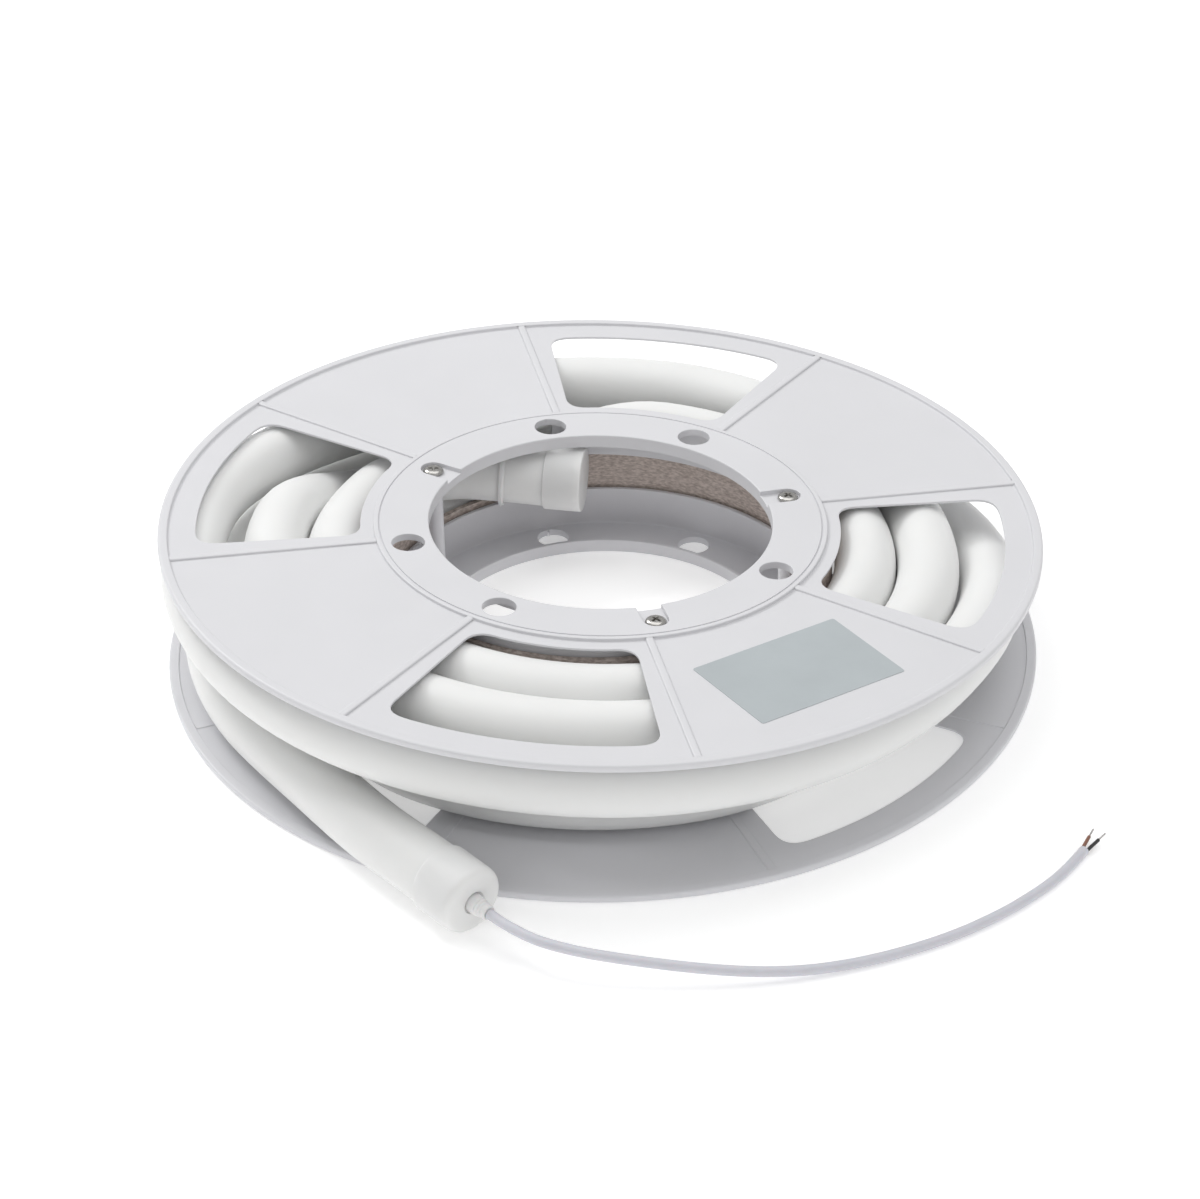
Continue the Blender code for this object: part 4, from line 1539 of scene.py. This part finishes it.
@dataclass
class Lead:
    """The power lead with its sleeve and two bared wires."""

    flex: Flex
    radius: float = 2.25 * MM
    sleeve_length: float = 9 * MM
    sleeve_root: float = 4.2 * MM
    wire_radius: float = 0.8 * MM
    wire_length: float = 9 * MM
    bare_length: float = 5 * MM
    wire_spacing: float = 2.2 * MM
    spread: float = 7.0
    lift: float = 4.0
    strand_radius: float = 0.14 * MM
    strand_pitch: float = 2.05
    strand_overlap: float = 1 * MM
    strand_stagger: float = 0.1 * MM
    tip_wall: float = 0.9 * MM
    # The grip rings' places and their tapers, in shares of the sleeve's length and taper
    grips: tuple[Pair, ...] = ((0.38, 0.25), (0.55, 0.5), (0.72, 0.75))
    grip_depth: float = 0.35 * MM
    grip_width: float = 0.9 * MM
    grip_soft: float = 0.15 * MM
    root_share: float = 0.3
    socket_share: float = 0.8
    socket_fit: float = 0.96
    sides: int = 28
    sleeve_segments: int = 48
    wire_segments: int = 24
    strand_sides: int = 8
    crease: float = 50.0
    # The route that part.py gives, in mm, from just past the sleeve's mouth to the bared end
    route: tuple[Triple, ...] = (
        (-40.5, -232.2, 14.6), (-29.0, -240.0, 13.3), (-15.0, -245.2, 12.0),
        (0.0, -248.6, 10.8), (19.3, -251.4, 9.2), (39.3, -253.0, 7.3), (59.4, -252.8, 5.3),
        (79.8, -250.2, 3.6), (100.3, -245.0, 2.7), (121.1, -237.4, 2.4), (142.3, -227.0, 2.3),
        (162.0, -214.0, 2.3), (177.4, -201.0, 2.3), (187.8, -190.3, 2.3),
        (195.4, -180.5, 2.3), (201.5, -171.5, 2.3))

    def points(self, axis: Matrix) -> list[Vector]:
        """Draw the lead's middle line in the row frame.

        Args:
            axis: the placement of the reel's axis.

        Returns:
            Its points, from the sleeve's mouth to the bared end.
        """
        _, outer = self.flex.cap_places()
        mouth = outer @ Vector((0, 0, self.sleeve_length + REEL.seat_gap))
        knots = [mouth, *(Vector(point) * MM for point in self.route)]
        return [axis @ point for point in smooth_path(knots, PATH_STEP)]

    def sleeve(self, axis: Matrix) -> bpy.types.Object:
        """Make the tapered sleeve on the outer cap, with grip rings.

        Args:
            axis: the placement of the reel's axis.

        Returns:
            The finished sleeve.
        """
        _, outer = self.flex.cap_places()
        root = self.sleeve_root
        tip = self.radius + self.tip_wall
        length = self.sleeve_length
        seat = self.flex.bore_gap - self.flex.well_depth
        profile = [(0, seat, 0), (root, seat, 0.3 * MM),
                   (root, length * self.root_share, 0.6 * MM)]
        for place, taper in self.grips:
            base = length * place
            wide = root * (1 - taper) + tip * taper
            profile += [(wide - self.grip_depth, base, self.grip_soft),
                        (wide, base + self.grip_depth, self.grip_soft),
                        (wide, base + self.grip_width, self.grip_soft)]
        bore = self.radius * self.socket_fit
        floor = length * self.socket_share
        profile += [(tip, length, 0.4 * MM), (bore, length, 0.1 * MM),
                    (bore, floor, 0), (0, floor, 0)]
        bm = bmesh.new()
        add_turned(bm, rounded(profile, 3, False), self.sleeve_segments)
        return dress("grip_sleeve", creased(closed_mesh(bm, "sleeve"), self.crease),
                     "sleeve", axis @ outer, "lead_sleeve")

    def wire(self, which: Wire, end: Vector, heading: Vector) -> bpy.types.Object:
        """Make one insulated wire with bright strands at its end.

        Args:
            which: the wire.
            end: the lead's end.
            heading: the direction that the lead ends in.

        Returns:
            The finished wire.
        """
        side = which.value
        across = Vector((-heading.y, heading.x, 0)).normalized()
        start = end + heading * REEL.seat_gap + across * side * self.wire_spacing / 2
        spread = Matrix.Rotation(math.radians(side * self.spread), 3, "Z")
        lift = Matrix.Rotation(math.radians(-self.lift), 3, across)
        clear = math.tan(math.radians(self.spread + self.lift)) * self.wire_radius
        place = along(start + heading * clear, lift @ spread @ heading)
        finish = f"wire_{which.name.lower()}"
        bm = bmesh.new()
        add_turned(bm, rounded([
            (0, 0, 0), (self.wire_radius, 0, 0.1 * MM),
            (self.wire_radius, self.wire_length, 0.25 * MM),
            (0, self.wire_length, 0)], 3, False), self.wire_segments)
        jacket = closed_mesh(bm, "jacket")
        jacket.materials.append(FINISHES[finish].make())
        jacket.materials.append(FINISHES["strand"].make())
        jacket = joined(jacket, self.strands(jacket.materials[1]), 1)
        return dress(f"bared_{finish}", creased(jacket, self.crease), finish, place, finish)

    def strands(self, finish: bpy.types.Material) -> bpy.types.Mesh:
        """Bundle seven tinned strands, set by a tree on six points and a middle one.

        Args:
            finish: the strands' material.

        Returns:
            The strands' mesh.
        """
        tree = ShapeTree("strand_bundle", {
            "Radius": self.strand_radius, "Length": self.bare_length + self.strand_overlap})
        bar = tree.add("GeometryNodeMeshCylinder", {
            "Vertices": self.strand_sides, "Radius": tree.source.outputs["Radius"],
            "Depth": tree.source.outputs["Length"]})
        copies = tree.add("GeometryNodeInstanceOnPoints", {
            "Points": tree.source.outputs["Geometry"], "Instance": bar.outputs["Mesh"]})
        tree.end(copies.outputs["Instances"], finish)
        middle = self.wire_length + (self.bare_length - self.strand_overlap) / 2
        spots = [Vector((0, 0, middle))]
        spots += [polar(self.strand_pitch * self.strand_radius, 60 * index,
                        middle + self.strand_stagger * (index % 3)) for index in range(6)]
        return tree.grow(points_mesh("strand_spots", spots))

    def build(self, axis: Matrix) -> bpy.types.Object:
        """Args:
            axis: the placement of the reel's axis.

        Returns:
            The lead.
        """
        path = self.points(axis)
        mesh = swept_tube(path, self.radius, self.sides, FINISHES["lead"].make())
        lead = dress("free_lead", mesh, "lead", Matrix.Identity(4), "power_lead")
        heading = (path[-1] - path[-2]).normalized()
        wires = [self.wire(which, path[-1], heading) for which in Wire]
        extras = [self.sleeve(axis), *wires]
        return lead


# Room

@dataclass(frozen=True)
class SoftBox:
    """A rectangular studio lamp."""

    name: str
    spot: Triple
    size: Pair
    power: float

    def hang(self, target: Vector) -> None:
        """Hang the lamp.

        Args:
            target: the point that it faces.
        """
        data = bpy.data.lights.new(self.name, "AREA")
        data.shape = "RECTANGLE"
        data.size, data.size_y = self.size
        data.energy = self.power
        lamp = add_object(self.name, data)
        lamp.location = self.spot
        aim = target - Vector(self.spot)
        lamp.rotation_euler = aim.to_track_quat("-Z", "Y").to_euler()


@dataclass
class Studio:
    """A white table, soft light and the camera at the photograph's angle."""

    distance: float = 1.5854
    elevation: float = 33.18
    pan: float = 0.03
    tilt: float = 0.68
    roll: float = 0.91
    lens: float = 102.45
    sensor: float = 36.0
    far_clip: float = 50.0
    floor_size: float = 8.0
    floor_white: float = 0.95
    floor_roughness: float = 0.8
    floor_gloss: float = 0.2
    floor_glow: float = 0.26
    sky_glow: float = 0.58
    lamp_target: Triple = (0, 0, 0.03)
    lamps: tuple[SoftBox, ...] = (
        SoftBox("key_behind_left", (-1.5, 1.3, 1.9), (0.9, 0.7), 26),
        SoftBox("top_soft", (0.1, 0.4, 2.4), (2.4, 2.0), 21),
        SoftBox("front_fill", (0.6, -2.2, 1.4), (2.4, 1.2), 4))

    def camera(self, axis: Matrix) -> None:
        """Set up the camera that was fitted to the reel's rims.

        Args:
            axis: the placement of the reel's axis.
        """
        rise = math.radians(self.elevation)
        ahead = Vector((0, math.cos(rise), -math.sin(rise)))
        right = Vector((1, 0, 0))
        view = [right, right.cross(ahead), ahead]
        for degrees, pivot in ((self.pan, 1), (self.tilt, 0), (self.roll, 2)):
            turn = Matrix.Rotation(math.radians(degrees), 3, view[pivot])
            view = [turn @ direction for direction in view]
        right, up, ahead = view
        data = bpy.data.cameras.new("camera")
        data.lens = self.lens
        data.sensor_width = self.sensor
        data.clip_end = self.far_clip
        camera = add_object("camera", data)
        camera.rotation_euler = Matrix((right, up, -ahead)).transposed().to_euler()
        spot = Vector((0, -math.cos(rise), math.sin(rise))) * self.distance
        camera.location = axis @ spot
        bpy.context.scene.camera = camera

    def floor(self) -> None:
        """Lay a plain pale floor."""
        half = self.floor_size / 2
        mesh = bpy.data.meshes.new("floor")
        mesh.from_pydata(
            [(-half, -half, 0), (half, -half, 0), (half, half, 0), (-half, half, 0)],
            [], [(0, 1, 2, 3)])
        sheet = Sheet("floor_white", (self.floor_white,) * 3, self.floor_roughness)
        sheet.even("Specular IOR Level", self.floor_gloss)
        sheet.even("Emission Color", (*WHITE, 1.0))
        sheet.even("Emission Strength", self.floor_glow)
        mesh.materials.append(sheet.material)
        add_object("floor", mesh)

    def build(self, axis: Matrix) -> None:
        """Set up the floor, the lights, the sky and the camera.

        Args:
            axis: the placement of the reel's axis.
        """
        self.camera(axis)
        self.floor()
        for lamp in self.lamps:
            lamp.hang(Vector(self.lamp_target))
        world = bpy.data.worlds.new("studio_sky")
        world.use_nodes = True
        sky = world.node_tree.nodes["Background"]
        sky.inputs["Color"].default_value = (*WHITE, 1.0)
        sky.inputs["Strength"].default_value = self.sky_glow
        bpy.context.scene.world = world
        bpy.context.scene.view_settings.view_transform = "Standard"


def main() -> None:
    """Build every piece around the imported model."""
    logging.basicConfig(level=logging.INFO, format="%(message)s")
    axis = reel_axis()
    Studio().build(axis)
    flex = Flex()
    Lead(flex).build(axis)
    ReelHalf(Side.LOWER, spoke_azimuth=21.0, gate_azimuth=356.0).build(axis)
    ReelHalf(Side.UPPER, spoke_azimuth=11.25, gate_azimuth=126.0).build(axis)
    Fasteners().build(axis)
    Label().build(axis)
    CoreRing().build(axis)
    flex.build(axis)
    CableTie(flex).build(axis)


if __name__ == "__main__":
    main()
